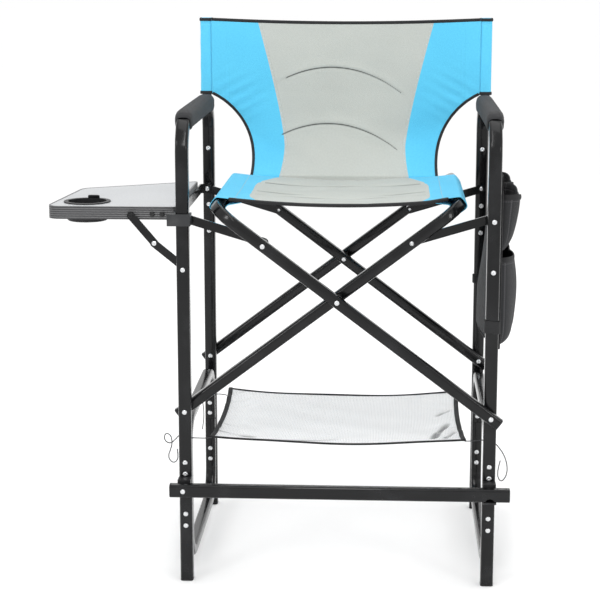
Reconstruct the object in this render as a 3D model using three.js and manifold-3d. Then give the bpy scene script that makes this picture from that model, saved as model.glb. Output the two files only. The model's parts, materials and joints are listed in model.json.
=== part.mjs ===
// A tall folding director chair with a scissor frame, a side table, a swing-up foot bar,
// a hanging side bag and a laced mesh shelf. Millimetres, +Z up, the sitter faces -Y.
// The origin is the middle of the footprint, on the floor.
import * as THREE from "three";
import { mergeVertices } from "three/addons/utils/BufferGeometryUtils.js";
import Module from "manifold-3d";

const wasm = await Module();
wasm.setup();

// ---- Side frames ----
const LEG_SPACING = 594; // between the middles of the left and right legs
const LEG_DEPTH = 488; // between the middles of the front and rear legs
const ARM_TOP = 925; // top of the arm tube
const TUBE = 25; // square leg and arm tube
const TUBE_CORNER = 5;
const TUBE_WALL = 1.2;
const ARM_BEND = 60; // bend radius at the middle of the tube
const FOOT_FLANGE = 4; // plastic under each leg
const PLUG_DEPTH = 20; // how far a plug reaches into its tube

// ---- Stiffening loops between the legs ----
const LOOP = 22;
const LOOP_TOP = 330;
const LOOP_SPLIT = 207; // where the upper and lower loops meet
const LOOP_BOTTOM = 24;
const UPPER_BEND = 50;
const LOWER_BEND = 60;

// ---- Scissor frame ----
const BAR = 22; // square seat tube
const BAR_CORNER = 5;
const BAR_WALL = 1.2;
const BAR_BEND = 45;
const LOWER_PIVOT = 346; // height of the pivots on the legs
const CROSSING = 571; // height of the crossing pivots
const RAIL_REACH = 291; // from the crossing to the middle of the seat rail
const LINK_REACH = 178; // from the crossing to the link pivot on the tube
const FOLDED_ANGLE = THREE.MathUtils.degToRad(76); // slope of the tubes when folded
const BAR_OVERHANG = 18; // tube below its lower pivot
const BAR_PLUG_FLANGE = 3;
const LINK_WIDTH = 17;
const LINK_THICK = 5;
const LAYER_GAP = 1.5; // between a leg and the seat tube beside it
const LINK_GAP = 0.8; // between a link and the face beside it

// ---- Rivets ----
const PIN_RADIUS = 3;
const PIN_PLAY = 0.3;
const HEAD_RADIUS = 4.6;
const HEAD_HEIGHT = 1.8;
const COLLAR_RADIUS = 7.5;
const COLLAR_PLAY = 0.3;
const OPEN_GAP = 0.3; // between a pin on one bar and the bar it would hold

// ---- Back posts ----
const POST = 20;
const POST_CORNER = 6;
const POST_TOP = 1081;
const POST_BOTTOM = 660;
const POST_OUTSET = 5; // post middle outside the leg middle, clear of the folded seat rail
const POST_GAP = 0.5;

// ---- Soft parts ----
const FABRIC = 2.5;
const PAD_WIDTH = 34;
const PAD_ABOVE = 6; // padding above the arm tube
const PAD_BELOW = 8;
const PAD_FRONT = -180;
const PAD_REAR = 172;
const SOFT_GAP = 0.5;
const SEAT_FRONT = -206;
const SEAT_REAR = 168;
const SEAT_SAG = 12;
const SLEEVE_GAP = 1.2; // between a seat rail's corner circle and its sleeve
const BACK_TOP = 1088;
const BACK_TOP_SAG = 7;
const BACK_SLEEVE_BOTTOM = 930;
const BACK_SEAT_GAP = 4;
const SHELF_HEIGHT = 294;
const SHELF_SAG = 22;
const SHELF_WIDTH = 510;
const SHELF_DEPTH = 404;

// ---- Foot bar ----
const FOOTBAR_HEIGHT = 199;
const FOOTBAR_TALL = 26;
const FOOTBAR_DEEP = 20;
const FOOTBAR_LEFT = 24; // past the left leg's middle
const FOOTBAR_RIGHT = 36; // past the right leg's middle
const FOOTBAR_GAP = 1;
const NOTCH_RADIUS = 10;
const SADDLE_TOP = 216;
const SADDLE_BOTTOM = 182;
const LEDGE = 4;

// ---- Side table ----
const TABLE_TOP = 745;
const RIM_HEIGHT = 25;
const RIM_WALL = 3;
const RIM_LEDGE = 8;
const LEDGE_DROP = 8.5; // from the table top down to the ledge's upper face
const BOARD_THICK = 8;
const BOARD_GAP = 0.4;
const TABLE_REACH = 269; // from the left leg's middle to the outer end
const TABLE_FRONT = 10.5; // front face behind the front leg's inward face
const TABLE_INNER_DEPTH = 391;
const TABLE_OUTER_DEPTH = 266;
const TABLE_TAPER = 25; // the outer end leans in by this much at the rear
const TABLE_INNER_GAP = 16; // from the hinge axis to the inner end
const HINGE_PLATE = 3;
const HINGE_TALL = 20;
const CUP_REACH = 199; // cup hole middle from the hinge axis
const CUP_SETBACK = 66; // and behind the front face
const CUP_RADIUS = 40;
const CUP_DEPTH = 36;
const CUP_WALL = 2;
const CUP_FLANGE = 6;
const CLAMP_TALL = 23;

// ---- Table brace ----
const BRACE_WIDTH = 15;
const BRACE_THICK = 2.5;
const BRACE_HEAD = 1;
const BRACE_GAP = 0.4;
const BRACE_TOP = { reach: 103, height: 728 };
const BRACE_ELBOW = { reach: 58, height: 675 };
const BRACE_FOOT_HEIGHT = 628;

// ---- Side bag ----
const BAG_PANEL = 3;
const BAG_BOTTOM = 470;
const BAG_TOP = 812;
const BAG_HALF_DEPTH = 232;
const BAG_POCKETS = [
  { bottom: 664, top: 784, front: 6, rear: 196, bulge: 36 },
  { bottom: 664, top: 776, front: -196, rear: 0, bulge: 40 },
  { bottom: 476, top: 648, front: -200, rear: 200, bulge: 40 },
];

// ---- Shelf ties: one thin cord each, from the shelf corner round the leg to its free end ----
const TIE_RADIUS = 1;
const FRONT_LEFT_TIE = [
  [-249, -213, 289], [-262, -219, 293], [-275, -226, 296], [-287, -228.8, 297], [-300, -229, 296],
  [-310, -231, 292], [-318, -237, 286], [-327, -242, 280], [-335, -246, 284], [-338, -249, 293],
  [-334, -251, 301], [-327, -252, 299], [-323.5, -252, 290], [-323.5, -251, 279], [-327, -250, 267],
  [-330, -249, 256], [-327, -248, 246], [-320, -247, 242], [-314, -246, 247], [-312.5, -246, 258],
  [-313.5, -246, 269],
];
const FRONT_RIGHT_TIE = [
  [257, -213, 289], [266, -219, 291], [276, -226, 291], [287, -228.8, 291], [300, -229, 289],
  [310, -231, 284], [318, -236, 276], [325, -240, 266], [330, -242, 254], [332.5, -243, 242],
  [332, -244, 229], [328, -245, 219], [321.5, -246, 214], [316, -247, 220], [314.5, -248, 231],
  [316, -249, 244], [318.5, -250, 256],
];
const REAR_LEFT_TIE = [
  [-257, 192, 266], [-265, 198, 266], [-275, 203, 265.5], [-286, 206, 264.5], [-299, 206.6, 263],
  [-308, 208, 260], [-312.5, 212, 252], [-313, 215, 240], [-312, 216, 228], [-311.5, 216, 215],
  [-312, 216, 203], [-313.5, 215, 191], [-315, 214, 181],
];

// ---- Derived places ----
const legX = LEG_SPACING / 2;
const legY = LEG_DEPTH / 2;
const halfTube = TUBE / 2;
const halfBar = BAR / 2;
const legInner = legY - halfTube; // distance of the legs' inward faces from the middle
const legOuter = legY + halfTube;
const openAngle = Math.atan2(CROSSING - LOWER_PIVOT, legX);
const pivotReach = Math.hypot(CROSSING - LOWER_PIVOT, legX); // lower pivot to crossing
const barLayer = halfTube + LAYER_GAP + halfBar; // seat tube beside a leg, middle to middle
// The leg pivots of the links sit where the four-bar closes both open and folded.
const linkPivotRise =
  (2 * pivotReach * LINK_REACH * (Math.sin(openAngle) + Math.sin(FOLDED_ANGLE))) /
  (pivotReach + LINK_REACH);
const linkLeg = { x: -legX, z: LOWER_PIVOT + linkPivotRise };
const linkBar = {
  x: -LINK_REACH * Math.cos(openAngle),
  z: CROSSING + LINK_REACH * Math.sin(openAngle),
};
const rail = {
  x: RAIL_REACH * Math.cos(openAngle),
  z: CROSSING + RAIL_REACH * Math.sin(openAngle),
};
const outerBar = { near: legOuter + LAYER_GAP, far: legOuter + LAYER_GAP + BAR };
const innerBar = { near: legInner - LAYER_GAP, far: legInner - LAYER_GAP - BAR };
const legLink = { near: legInner - LINK_GAP, far: legInner - LINK_GAP - LINK_THICK };
const barLink = { near: innerBar.far - LINK_GAP, far: innerBar.far - LINK_GAP - LINK_THICK };
const hinge = linkLeg; // the table turns on the left link pivots

// ---- Materials ----
const finish = (color, roughness, metalness) =>
  new THREE.MeshStandardMaterial({ color, roughness, metalness });
const blackTube = finish(0x1b1d1f, 0.32, 0.4);
const blackPlastic = finish(0x2a2c2e, 0.55, 0);
const greyPlastic = finish(0x4b4d4f, 0.6, 0);
const steel = finish(0xc9cbcd, 0.3, 1);
const ribbedRim = finish(0x5c5f62, 0.4, 0.7);
const paleBoard = finish(0xd9dadb, 0.6, 0);
const blueCloth = finish(0x55bfee, 0.9, 0);
const greyCloth = finish(0x3f4143, 0.95, 0);
const whiteMesh = finish(0xe6e8e8, 0.95, 0);
const blackCord = finish(0x202224, 0.9, 0);

// ---- Solids ----
function solidOf(geometry) {
  const loose = geometry.index ? geometry.toNonIndexed() : geometry;
  const bare = new THREE.BufferGeometry();
  bare.setAttribute("position", loose.getAttribute("position"));
  const merged = mergeVertices(bare, 1e-3);
  const mesh = new wasm.Mesh({
    numProp: 3,
    vertProperties: merged.attributes.position.array,
    triVerts: new Uint32Array(merged.index.array),
  });
  return new wasm.Manifold(mesh);
}

function geometryOf(solid) {
  const mesh = solid.getMesh();
  const geometry = new THREE.BufferGeometry();
  geometry.setAttribute("position", new THREE.BufferAttribute(mesh.vertProperties, 3));
  geometry.setIndex(new THREE.BufferAttribute(mesh.triVerts, 1));
  return geometry;
}

const join = (...geometries) =>
  geometryOf(geometries.map(solidOf).reduce((whole, piece) => whole.add(piece)));
const cut = (geometry, ...tools) =>
  geometryOf(tools.map(solidOf).reduce((rest, tool) => rest.subtract(tool), solidOf(geometry)));
const common = (a, b) => geometryOf(solidOf(a).intersect(solidOf(b)));

function box(x0, x1, y0, y1, z0, z1) {
  const geometry = new THREE.BoxGeometry(x1 - x0, y1 - y0, z1 - z0);
  return geometry.translate((x0 + x1) / 2, (y0 + y1) / 2, (z0 + z1) / 2);
}

// A round tool along Y for a pin hole at x, z.
function drill(x, z, y0, y1, radius = PIN_RADIUS + PIN_PLAY) {
  const geometry = new THREE.CylinderGeometry(radius, radius, y1 - y0, 10);
  return geometry.translate(x, (y0 + y1) / 2, z);
}

// ---- Outlines ----
function roundedRectangle(width, height, corner, Kind = THREE.Shape) {
  const x = width / 2 - corner;
  const y = height / 2 - corner;
  const outline = new Kind();
  outline.absarc(x, y, corner, 0, Math.PI / 2);
  outline.absarc(-x, y, corner, Math.PI / 2, Math.PI);
  outline.absarc(-x, -y, corner, Math.PI, 1.5 * Math.PI);
  outline.absarc(x, -y, corner, 1.5 * Math.PI, 2 * Math.PI);
  outline.closePath();
  return outline;
}

function tubeSection(width, height, corner, wall) {
  const section = roundedRectangle(width, height, corner);
  const inner = roundedRectangle(width - 2 * wall, height - 2 * wall, corner - wall, THREE.Path);
  section.holes.push(inner);
  return section;
}

// A closed outline through corners [x, y, radius], each rounded by an arc.
function roundedOutline(corners, Kind = THREE.Shape) {
  const outline = new Kind();
  corners.forEach(([x, y, radius], i) => {
    const here = new THREE.Vector2(x, y);
    const [px, py] = corners.at(i - 1);
    const [nx, ny] = corners[(i + 1) % corners.length];
    const back = new THREE.Vector2(px, py).sub(here).normalize();
    const on = new THREE.Vector2(nx, ny).sub(here).normalize();
    const half = Math.acos(THREE.MathUtils.clamp(back.dot(on), -1, 1)) / 2;
    const trim = radius / Math.tan(half);
    const middle = back.clone().add(on).normalize().multiplyScalar(radius / Math.sin(half)).add(here);
    const start = back.multiplyScalar(trim).add(here).sub(middle);
    const end = on.multiplyScalar(trim).add(here).sub(middle);
    const turn = start.cross(end) < 0;
    outline.absarc(middle.x, middle.y, radius, start.angle(), end.angle(), turn);
  });
  outline.closePath();
  return outline;
}

// The same corners moved inwards by a distance; the corners run anticlockwise.
function insetCorners(corners, distance) {
  return corners.map(([x, y, radius], i) => {
    const here = new THREE.Vector2(x, y);
    const [px, py] = corners.at(i - 1);
    const [nx, ny] = corners[(i + 1) % corners.length];
    const along = here.clone().sub(new THREE.Vector2(px, py)).normalize();
    const on = new THREE.Vector2(nx, ny).sub(here).normalize();
    const inA = new THREE.Vector2(-along.y, along.x);
    const inB = new THREE.Vector2(-on.y, on.x);
    const move = inA.clone().add(inB).multiplyScalar(distance / (1 + inA.dot(inB)));
    return [x + move.x, y + move.y, Math.max(radius - distance, 0.5)];
  });
}

const polygon = (points) => new THREE.Shape(points.map(([x, y]) => new THREE.Vector2(x, y)));

function slab(outline, z0, z1, curveSegments = 3) {
  const geometry = new THREE.ExtrudeGeometry(outline, {
    depth: z1 - z0,
    bevelEnabled: false,
    curveSegments,
  });
  return geometry.translate(0, 0, z0);
}

// An outline drawn as x, z and extruded along Y.
function upright(outline, y0, y1, curveSegments = 3) {
  return slab(outline, -y1, -y0, curveSegments).rotateX(Math.PI / 2);
}

// ---- Bent tubes ----
// Straight lengths joined by round bends, with stations only where the run turns.
class BentRun extends THREE.Curve {
  constructor(corners, radius, stepsPerBend = 4) {
    super();
    this.stations = [];
    this.tangents = [];
    corners.forEach((corner, i) => {
      if (i === 0 || i === corners.length - 1) {
        const other = corners[i === 0 ? 1 : i - 1];
        const tangent = i === 0 ? other.clone().sub(corner) : corner.clone().sub(other);
        this.stations.push(corner.clone());
        this.tangents.push(tangent.normalize());
        return;
      }
      const before = corner.clone().sub(corners[i - 1]).normalize();
      const after = corners[i + 1].clone().sub(corner).normalize();
      const angle = before.angleTo(after);
      const axis = before.clone().cross(after).normalize();
      const trim = radius * Math.tan(angle / 2);
      const inward = axis.clone().cross(before);
      const centre = corner.clone().addScaledVector(before, -trim).addScaledVector(inward, radius);
      for (let k = 0; k <= stepsPerBend; k++) {
        const turn = (angle * k) / stepsPerBend;
        const spoke = inward.clone().multiplyScalar(-radius).applyAxisAngle(axis, turn);
        this.stations.push(centre.clone().add(spoke));
        this.tangents.push(before.clone().applyAxisAngle(axis, turn));
      }
    });
    this.steps = this.stations.length - 1;
  }
  getPoint(t, target = new THREE.Vector3()) {
    return target.copy(this.stations[Math.round(t * this.steps)]);
  }
  getSpacedPoints() {
    return this.stations.map((station) => station.clone());
  }
  getTangentAt(t, target = new THREE.Vector3()) {
    return target.copy(this.tangents[Math.round(t * this.steps)]);
  }
}

function bentTube(section, corners, radius, curveSegments = 1) {
  const run = new BentRun(corners, radius);
  return new THREE.ExtrudeGeometry(section, {
    steps: run.steps,
    extrudePath: run,
    curveSegments,
  });
}

// A rivet along Y from y0 to y1, with optional heads and a collar between two pieces.
function rivet(x, z, y0, y1, { headLow = true, headHigh = true, collar, head = HEAD_HEIGHT } = {}) {
  const low = headLow ? [[0, y0 - head], [HEAD_RADIUS - 2, y0 - head], [HEAD_RADIUS, y0]] : [[0, y0]];
  const high = headHigh ? [[HEAD_RADIUS, y1], [HEAD_RADIUS - 2, y1 + head], [0, y1 + head]] : [[0, y1]];
  const middle = [[PIN_RADIUS, y0]];
  if (collar) {
    middle.push([PIN_RADIUS, collar[0]], [COLLAR_RADIUS, collar[0]]);
    middle.push([COLLAR_RADIUS, collar[1]], [PIN_RADIUS, collar[1]]);
  }
  middle.push([PIN_RADIUS, y1]);
  const profile = [...low, ...middle, ...high].map(([r, y]) => new THREE.Vector2(r, y));
  return new THREE.LatheGeometry(profile, 10).translate(x, 0, z);
}

// ---- Side frame pieces, for the frame at side -1 (left) or 1 (right) ----
function sideTube(side) {
  const x = side * legX;
  const armZ = ARM_TOP - halfTube;
  const at = (y, z) => new THREE.Vector3(x, y, z);
  const corners = [at(-legY, FOOT_FLANGE), at(-legY, armZ), at(legY, armZ), at(legY, FOOT_FLANGE)];
  const tube = bentTube(tubeSection(TUBE, TUBE, TUBE_CORNER, TUBE_WALL), corners, ARM_BEND);
  const holes = [LOWER_PIVOT, linkLeg.z].flatMap((z) => [
    drill(x, z, -legOuter - 2, -legInner + 2),
    drill(x, z, legInner - 2, legOuter + 2),
  ]);
  if (side < 0) holes.push(drill(x, BRACE_FOOT_HEIGHT, -legOuter - 2, -legInner + 2));
  if (side < 0) holes.push(drill(x, FOOTBAR_HEIGHT, -legOuter - 2, -legY));
  return cut(tube, ...holes);
}

function footPlug() {
  const flange = slab(roundedRectangle(TUBE, TUBE, TUBE_CORNER), 0, FOOT_FLANGE - PIN_PLAY, 2);
  const inner = TUBE - 2 * TUBE_WALL - 2 * PIN_PLAY;
  const corner = TUBE_CORNER - TUBE_WALL - PIN_PLAY;
  const spigot = slab(roundedRectangle(inner, inner, corner), 1, FOOT_FLANGE + PLUG_DEPTH, 2);
  return join(flange, spigot);
}

function loop(side, upper) {
  const x = side * legX;
  const y = legInner - BOARD_GAP - LOOP / 2;
  const level = upper ? LOOP_TOP - LOOP / 2 : LOOP_BOTTOM + LOOP / 2;
  const end = upper ? LOOP_SPLIT + PIN_PLAY : LOOP_SPLIT - PIN_PLAY;
  const at = (v, z) => new THREE.Vector3(x, v, z);
  const corners = [at(-y, end), at(-y, level), at(y, level), at(y, end)];
  const section = tubeSection(LOOP, LOOP, BAR_CORNER, BAR_WALL);
  return bentTube(section, corners, upper ? UPPER_BEND : LOWER_BEND);
}

function backPost() {
  return slab(tubeSection(POST, POST, POST_CORNER, BAR_WALL), POST_BOTTOM, POST_TOP, 2);
}

function armPad(side) {
  const top = ARM_TOP + PAD_ABOVE;
  const bottom = ARM_TOP - TUBE - PAD_BELOW;
  const outer = roundedRectangle(PAD_WIDTH, top - bottom, 10);
  const gap = TUBE + 2 * SOFT_GAP;
  const bore = roundedRectangle(gap, gap, TUBE_CORNER + SOFT_GAP, THREE.Path);
  const shift = ARM_TOP - halfTube - (top + bottom) / 2;
  outer.holes.push(new THREE.Path(bore.getPoints(3).map((p) => p.setY(p.y + shift))));
  const pad = upright(outer, PAD_FRONT, PAD_REAR);
  return pad.translate(side * legX, 0, (top + bottom) / 2);
}

// ---- Scissor pieces. The left seat tube's rail is on the left and its pivots on the right
// legs; the right one is the same piece turned half round. Both are drawn here as the left one.
function seatTube() {
  const reach = pivotReach + RAIL_REACH;
  const at = (s, y) => new THREE.Vector3(s, y, 0);
  const corners = [at(-BAR_OVERHANG, -legY), at(reach, -legY), at(reach, legY), at(-BAR_OVERHANG, legY)];
  const tube = bentTube(tubeSection(BAR, BAR, BAR_CORNER, BAR_WALL), corners, BAR_BEND);
  const length = legOuter + 2;
  const holes = [0, pivotReach, pivotReach + LINK_REACH].map((s) => drill(s, 0, -length, length));
  return cut(tube, ...holes);
}

function tubePlug() {
  const section = roundedRectangle(BAR, BAR, BAR_CORNER);
  const flange = slab(section, -BAR_PLUG_FLANGE, -PIN_PLAY, 2);
  const inner = BAR - 2 * BAR_WALL - 2 * PIN_PLAY;
  const corner = BAR_CORNER - BAR_WALL - PIN_PLAY;
  const spigot = slab(roundedRectangle(inner, inner, corner), -1, BAR_OVERHANG - 6, 2);
  return join(flange, spigot).rotateY(Math.PI / 2);
}

// A flat bar with round ends between two pivots, drawn in x, z.
function strap(from, to, width, y0, y1) {
  const length = Math.hypot(to.x - from.x, to.z - from.z);
  const angle = Math.atan2(to.z - from.z, to.x - from.x);
  const outline = new THREE.Shape();
  outline.absarc(0, 0, width / 2, Math.PI / 2, 1.5 * Math.PI);
  outline.absarc(length, 0, width / 2, -Math.PI / 2, Math.PI / 2);
  outline.closePath();
  const bar = upright(outline, y0, y1, 6);
  const holes = [drill(0, 0, y0 - 1, y1 + 1), drill(length, 0, y0 - 1, y1 + 1)];
  return cut(bar, ...holes).rotateY(-angle).translate(from.x, 0, from.z);
}

// ---- Foot bar ----
function footBar() {
  const front = -legOuter - BAR - LAYER_GAP - 2 * FOOTBAR_GAP - FOOTBAR_DEEP;
  const left = -legX - FOOTBAR_LEFT;
  const right = legX + FOOTBAR_RIGHT;
  const section = tubeSection(FOOTBAR_TALL, FOOTBAR_DEEP, BAR_CORNER, BAR_WALL);
  const tube = slab(section, left, right, 2).rotateY(Math.PI / 2);
  tube.translate(0, front + FOOTBAR_DEEP / 2, FOOTBAR_HEIGHT);
  const bottom = FOOTBAR_HEIGHT - FOOTBAR_TALL / 2;
  const hole = drill(-legX, FOOTBAR_HEIGHT, front - 1, front + FOOTBAR_DEEP + 1);
  const notch = drill(legX, bottom - 2, front - 1, front + FOOTBAR_DEEP + 1, NOTCH_RADIUS);
  return { geometry: cut(tube, hole, notch), front, back: front + FOOTBAR_DEEP };
}

function saddle(side, bar) {
  const x = side * legX;
  const face = bar.back + FOOTBAR_GAP;
  const block = box(x - halfTube, x + halfTube, face, -legOuter - BOARD_GAP, SADDLE_BOTTOM, SADDLE_TOP);
  if (side < 0) return cut(block, drill(x, FOOTBAR_HEIGHT, face - 1, -legOuter));
  const ledgeTop = FOOTBAR_HEIGHT - FOOTBAR_TALL / 2 - BOARD_GAP;
  const ledge = box(x - halfTube, x + halfTube, bar.front + 2, face + 2, ledgeTop - LEDGE, ledgeTop);
  return join(block, ledge);
}

// ---- Side table, drawn level with its inner end beside the left legs ----
const tableFront = -legInner + TABLE_FRONT;
const tableInner = hinge.x - TABLE_INNER_GAP;
const tableOuter = hinge.x - TABLE_REACH;
const tableCorners = [
  [tableOuter, tableFront, 24],
  [tableInner, tableFront, 6],
  [tableInner, tableFront + TABLE_INNER_DEPTH, 6],
  [tableOuter + TABLE_TAPER, tableFront + TABLE_OUTER_DEPTH, 36],
];
const cup = { x: hinge.x - CUP_REACH, y: tableFront + CUP_SETBACK };

function ring(corners, inset, width, z0, z1) {
  const outline = roundedOutline(insetCorners(corners, inset));
  outline.holes.push(roundedOutline(insetCorners(corners, inset + width), THREE.Path));
  return slab(outline, z0, z1, 4);
}

function tableRim() {
  const wall = ring(tableCorners, 0, RIM_WALL, TABLE_TOP - RIM_HEIGHT, TABLE_TOP);
  const top = TABLE_TOP - LEDGE_DROP;
  const ledge = ring(tableCorners, RIM_WALL / 2, RIM_LEDGE, top - 2, top);
  const pinEnd = drill(hinge.x - BRACE_TOP.reach, BRACE_TOP.height, tableFront - 1, tableFront + RIM_WALL + 1);
  return cut(join(wall, ledge), pinEnd);
}

function tableBoard() {
  const outline = roundedOutline(insetCorners(tableCorners, RIM_WALL + BOARD_GAP));
  const hole = new THREE.Path();
  hole.absarc(cup.x, cup.y, CUP_RADIUS + 2 * SOFT_GAP, 0, 2 * Math.PI);
  outline.holes.push(hole);
  const top = TABLE_TOP - BOARD_GAP;
  return slab(outline, top - BOARD_THICK + BOARD_GAP, top, 12);
}

// The steel strip along the table's inner end, with an eye at each end on the link pivots.
function tableHinge(frontEar, rearEar) {
  const outline = new THREE.Shape();
  outline.moveTo(tableInner + PIN_PLAY, hinge.z - HINGE_TALL / 2);
  outline.lineTo(hinge.x, hinge.z - HINGE_TALL / 2);
  outline.absarc(hinge.x, hinge.z, HINGE_TALL / 2, -Math.PI / 2, Math.PI / 2);
  outline.lineTo(tableInner + PIN_PLAY, hinge.z + HINGE_TALL / 2);
  outline.closePath();
  const ears = [frontEar, rearEar].map(([y0, y1]) => {
    return cut(upright(outline, y0, y1, 6), drill(hinge.x, hinge.z, y0 - 1, y1 + 1));
  });
  const x = tableInner + PIN_PLAY;
  const low = hinge.z - HINGE_TALL / 2;
  const web = box(x, x + HINGE_PLATE, frontEar[0], rearEar[1], low, low + HINGE_TALL);
  return join(web, ...ears);
}

function cupHolder() {
  const top = TABLE_TOP - BOARD_GAP + PIN_PLAY;
  const bottom = TABLE_TOP - CUP_DEPTH;
  const inner = CUP_RADIUS - CUP_WALL;
  const profile = [
    [0, bottom], [CUP_RADIUS - 2, bottom], [CUP_RADIUS, bottom + 2], [CUP_RADIUS, top],
    [CUP_RADIUS + CUP_FLANGE, top], [CUP_RADIUS + CUP_FLANGE, top + 2], [inner, top + 2],
    [inner, bottom + CUP_WALL], [0, bottom + CUP_WALL],
  ].map(([r, z]) => new THREE.Vector2(r, z));
  const bowl = new THREE.LatheGeometry(profile, 28).rotateX(Math.PI / 2);
  return bowl.translate(cup.x, cup.y, 0);
}

// The plastic saddle that wraps the front and sides of the left front leg at the hinge.
function tableClamp() {
  const z0 = hinge.z - CLAMP_TALL / 2;
  const x0 = -legX - halfTube;
  const x1 = -legX + halfTube;
  const wrap = box(x0 - 16, x1 + 3.5, -legOuter - 6.5, -legInner - 2, z0, z0 + CLAMP_TALL);
  const room = box(x0 - BOARD_GAP, x1 + BOARD_GAP, -legOuter - 2.5, -legInner, z0 - 1, z0 + CLAMP_TALL + 1);
  return cut(wrap, room);
}

// ---- Soft solids ----
function seatSleeve(side, y0, y1) {
  const inner = Math.hypot(halfBar, halfBar) - BAR_CORNER * (Math.SQRT2 - 1) + SLEEVE_GAP;
  const outline = new THREE.Shape();
  outline.absarc(side * rail.x, rail.z, inner + FABRIC, 0, 2 * Math.PI);
  const bore = new THREE.Path();
  bore.absarc(side * rail.x, rail.z, inner, 0, 2 * Math.PI);
  outline.holes.push(bore);
  return { geometry: upright(outline, y0, y1, 16), top: rail.z + inner + FABRIC };
}

function seatFabric() {
  const straight = legY - BAR_BEND - barLayer; // the right rail is straight this far forward
  const left = seatSleeve(-1, SEAT_FRONT, SEAT_REAR);
  const right = seatSleeve(1, -straight + 2, SEAT_REAR);
  const reach = rail.x;
  const sag = (x) => left.top - SEAT_SAG * (1 - (x / reach) ** 2);
  const xs = Array.from({ length: 13 }, (_, i) => -reach + (2 * reach * i) / 12);
  const outline = polygon([
    ...xs.map((x) => [x, sag(x) - FABRIC]),
    ...xs.toReversed().map((x) => [x, sag(x)]),
  ]);
  return join(upright(outline, SEAT_FRONT, SEAT_REAR), left.geometry, right.geometry);
}

function backFabric() {
  const postX = legX + POST_OUTSET;
  const postY = legOuter + POST_GAP + POST / 2;
  const seatTop = rail.z + halfBar - SEAT_SAG / 2;
  const hem = { y: SEAT_REAR + BACK_SEAT_GAP, z: seatTop + 8 };
  const profile = [[hem.y, hem.z], [hem.y + 30, hem.z + 12], [postY - 30, hem.z + 38], [postY - 8, hem.z + 70]];
  const spine = [...profile, [postY - 1.5, hem.z + 110], [postY, hem.z + 150], [postY, BACK_TOP]];
  const side = polygon([
    ...spine.map(([y, z]) => [y - FABRIC / 2, z]),
    ...spine.toReversed().map(([y, z]) => [y + FABRIC / 2, z + 0.6]),
  ]);
  const sheet = slab(side, -postX, postX).rotateY(Math.PI / 2).rotateX(Math.PI / 2);
  const silhouette = new THREE.Shape();
  silhouette.moveTo(-postX, BACK_TOP);
  silhouette.quadraticCurveTo(0, BACK_TOP - 2 * BACK_TOP_SAG, postX, BACK_TOP);
  silhouette.lineTo(postX, BACK_SLEEVE_BOTTOM);
  silhouette.bezierCurveTo(postX - 50, BACK_SLEEVE_BOTTOM - 15, 190, 850, 200, hem.z - 2);
  silhouette.lineTo(-200, hem.z - 2);
  silhouette.bezierCurveTo(-190, 850, -postX + 50, BACK_SLEEVE_BOTTOM - 15, -postX, BACK_SLEEVE_BOTTOM);
  const panel = common(sheet, upright(silhouette, 0, legOuter + 60, 7));
  const sleeves = [-1, 1].map((end) => {
    const outer = roundedRectangle(POST + 7, POST + 7, POST_CORNER + 3);
    outer.holes.push(roundedRectangle(POST + 2, POST + 2, POST_CORNER + 1, THREE.Path));
    return slab(outer, BACK_SLEEVE_BOTTOM, BACK_TOP - 1, 2).translate(end * postX, postY, 0);
  });
  const posts = [-1, 1].map((end) => {
    const bore = slab(roundedRectangle(POST + 2, POST + 2, POST_CORNER + 1), BACK_SLEEVE_BOTTOM - 9, BACK_TOP + 1, 2);
    return bore.translate(end * postX, postY, 0);
  });
  return cut(join(panel, ...sleeves), ...posts);
}

// A slack sheet whose edges draw in between its tied corners.
function shelfNet() {
  const cells = 8;
  const top = [];
  for (let j = 0; j <= cells; j++) {
    for (let i = 0; i <= cells; i++) {
      const u = (2 * i) / cells - 1;
      const v = (2 * j) / cells - 1;
      const x = (u * SHELF_WIDTH * (1 - 0.05 * (1 - v * v))) / 2;
      const y = (v * SHELF_DEPTH * (1 - 0.05 * (1 - u * u))) / 2;
      const z = SHELF_HEIGHT - 12 * (v + 1) - SHELF_SAG * (1 - u * u) * (1 - 0.4 * v * v);
      top.push([x, y, z]);
    }
  }
  const row = cells + 1;
  const points = [...top, ...top.map(([x, y, z]) => [x, y, z - FABRIC])].flat();
  const under = top.length;
  const faces = [];
  const quad = (a, b, c, d) => faces.push(a, b, c, a, c, d);
  for (let j = 0; j < cells; j++) {
    for (let i = 0; i < cells; i++) {
      const a = j * row + i;
      quad(a, a + 1, a + row + 1, a + row);
      quad(under + a, under + a + row, under + a + row + 1, under + a + 1);
    }
  }
  for (let k = 0; k < cells; k++) {
    const last = cells * row;
    quad(under + k, under + k + 1, k + 1, k);
    quad(last + k, last + k + 1, under + last + k + 1, under + last + k);
    quad(k * row, (k + 1) * row, under + (k + 1) * row, under + k * row);
    const east = k * row + cells;
    quad(under + east, under + east + row, east + row, east);
  }
  const geometry = new THREE.BufferGeometry();
  geometry.setAttribute("position", new THREE.Float32BufferAttribute(points, 3));
  geometry.setIndex(faces);
  return geometry;
}

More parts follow.
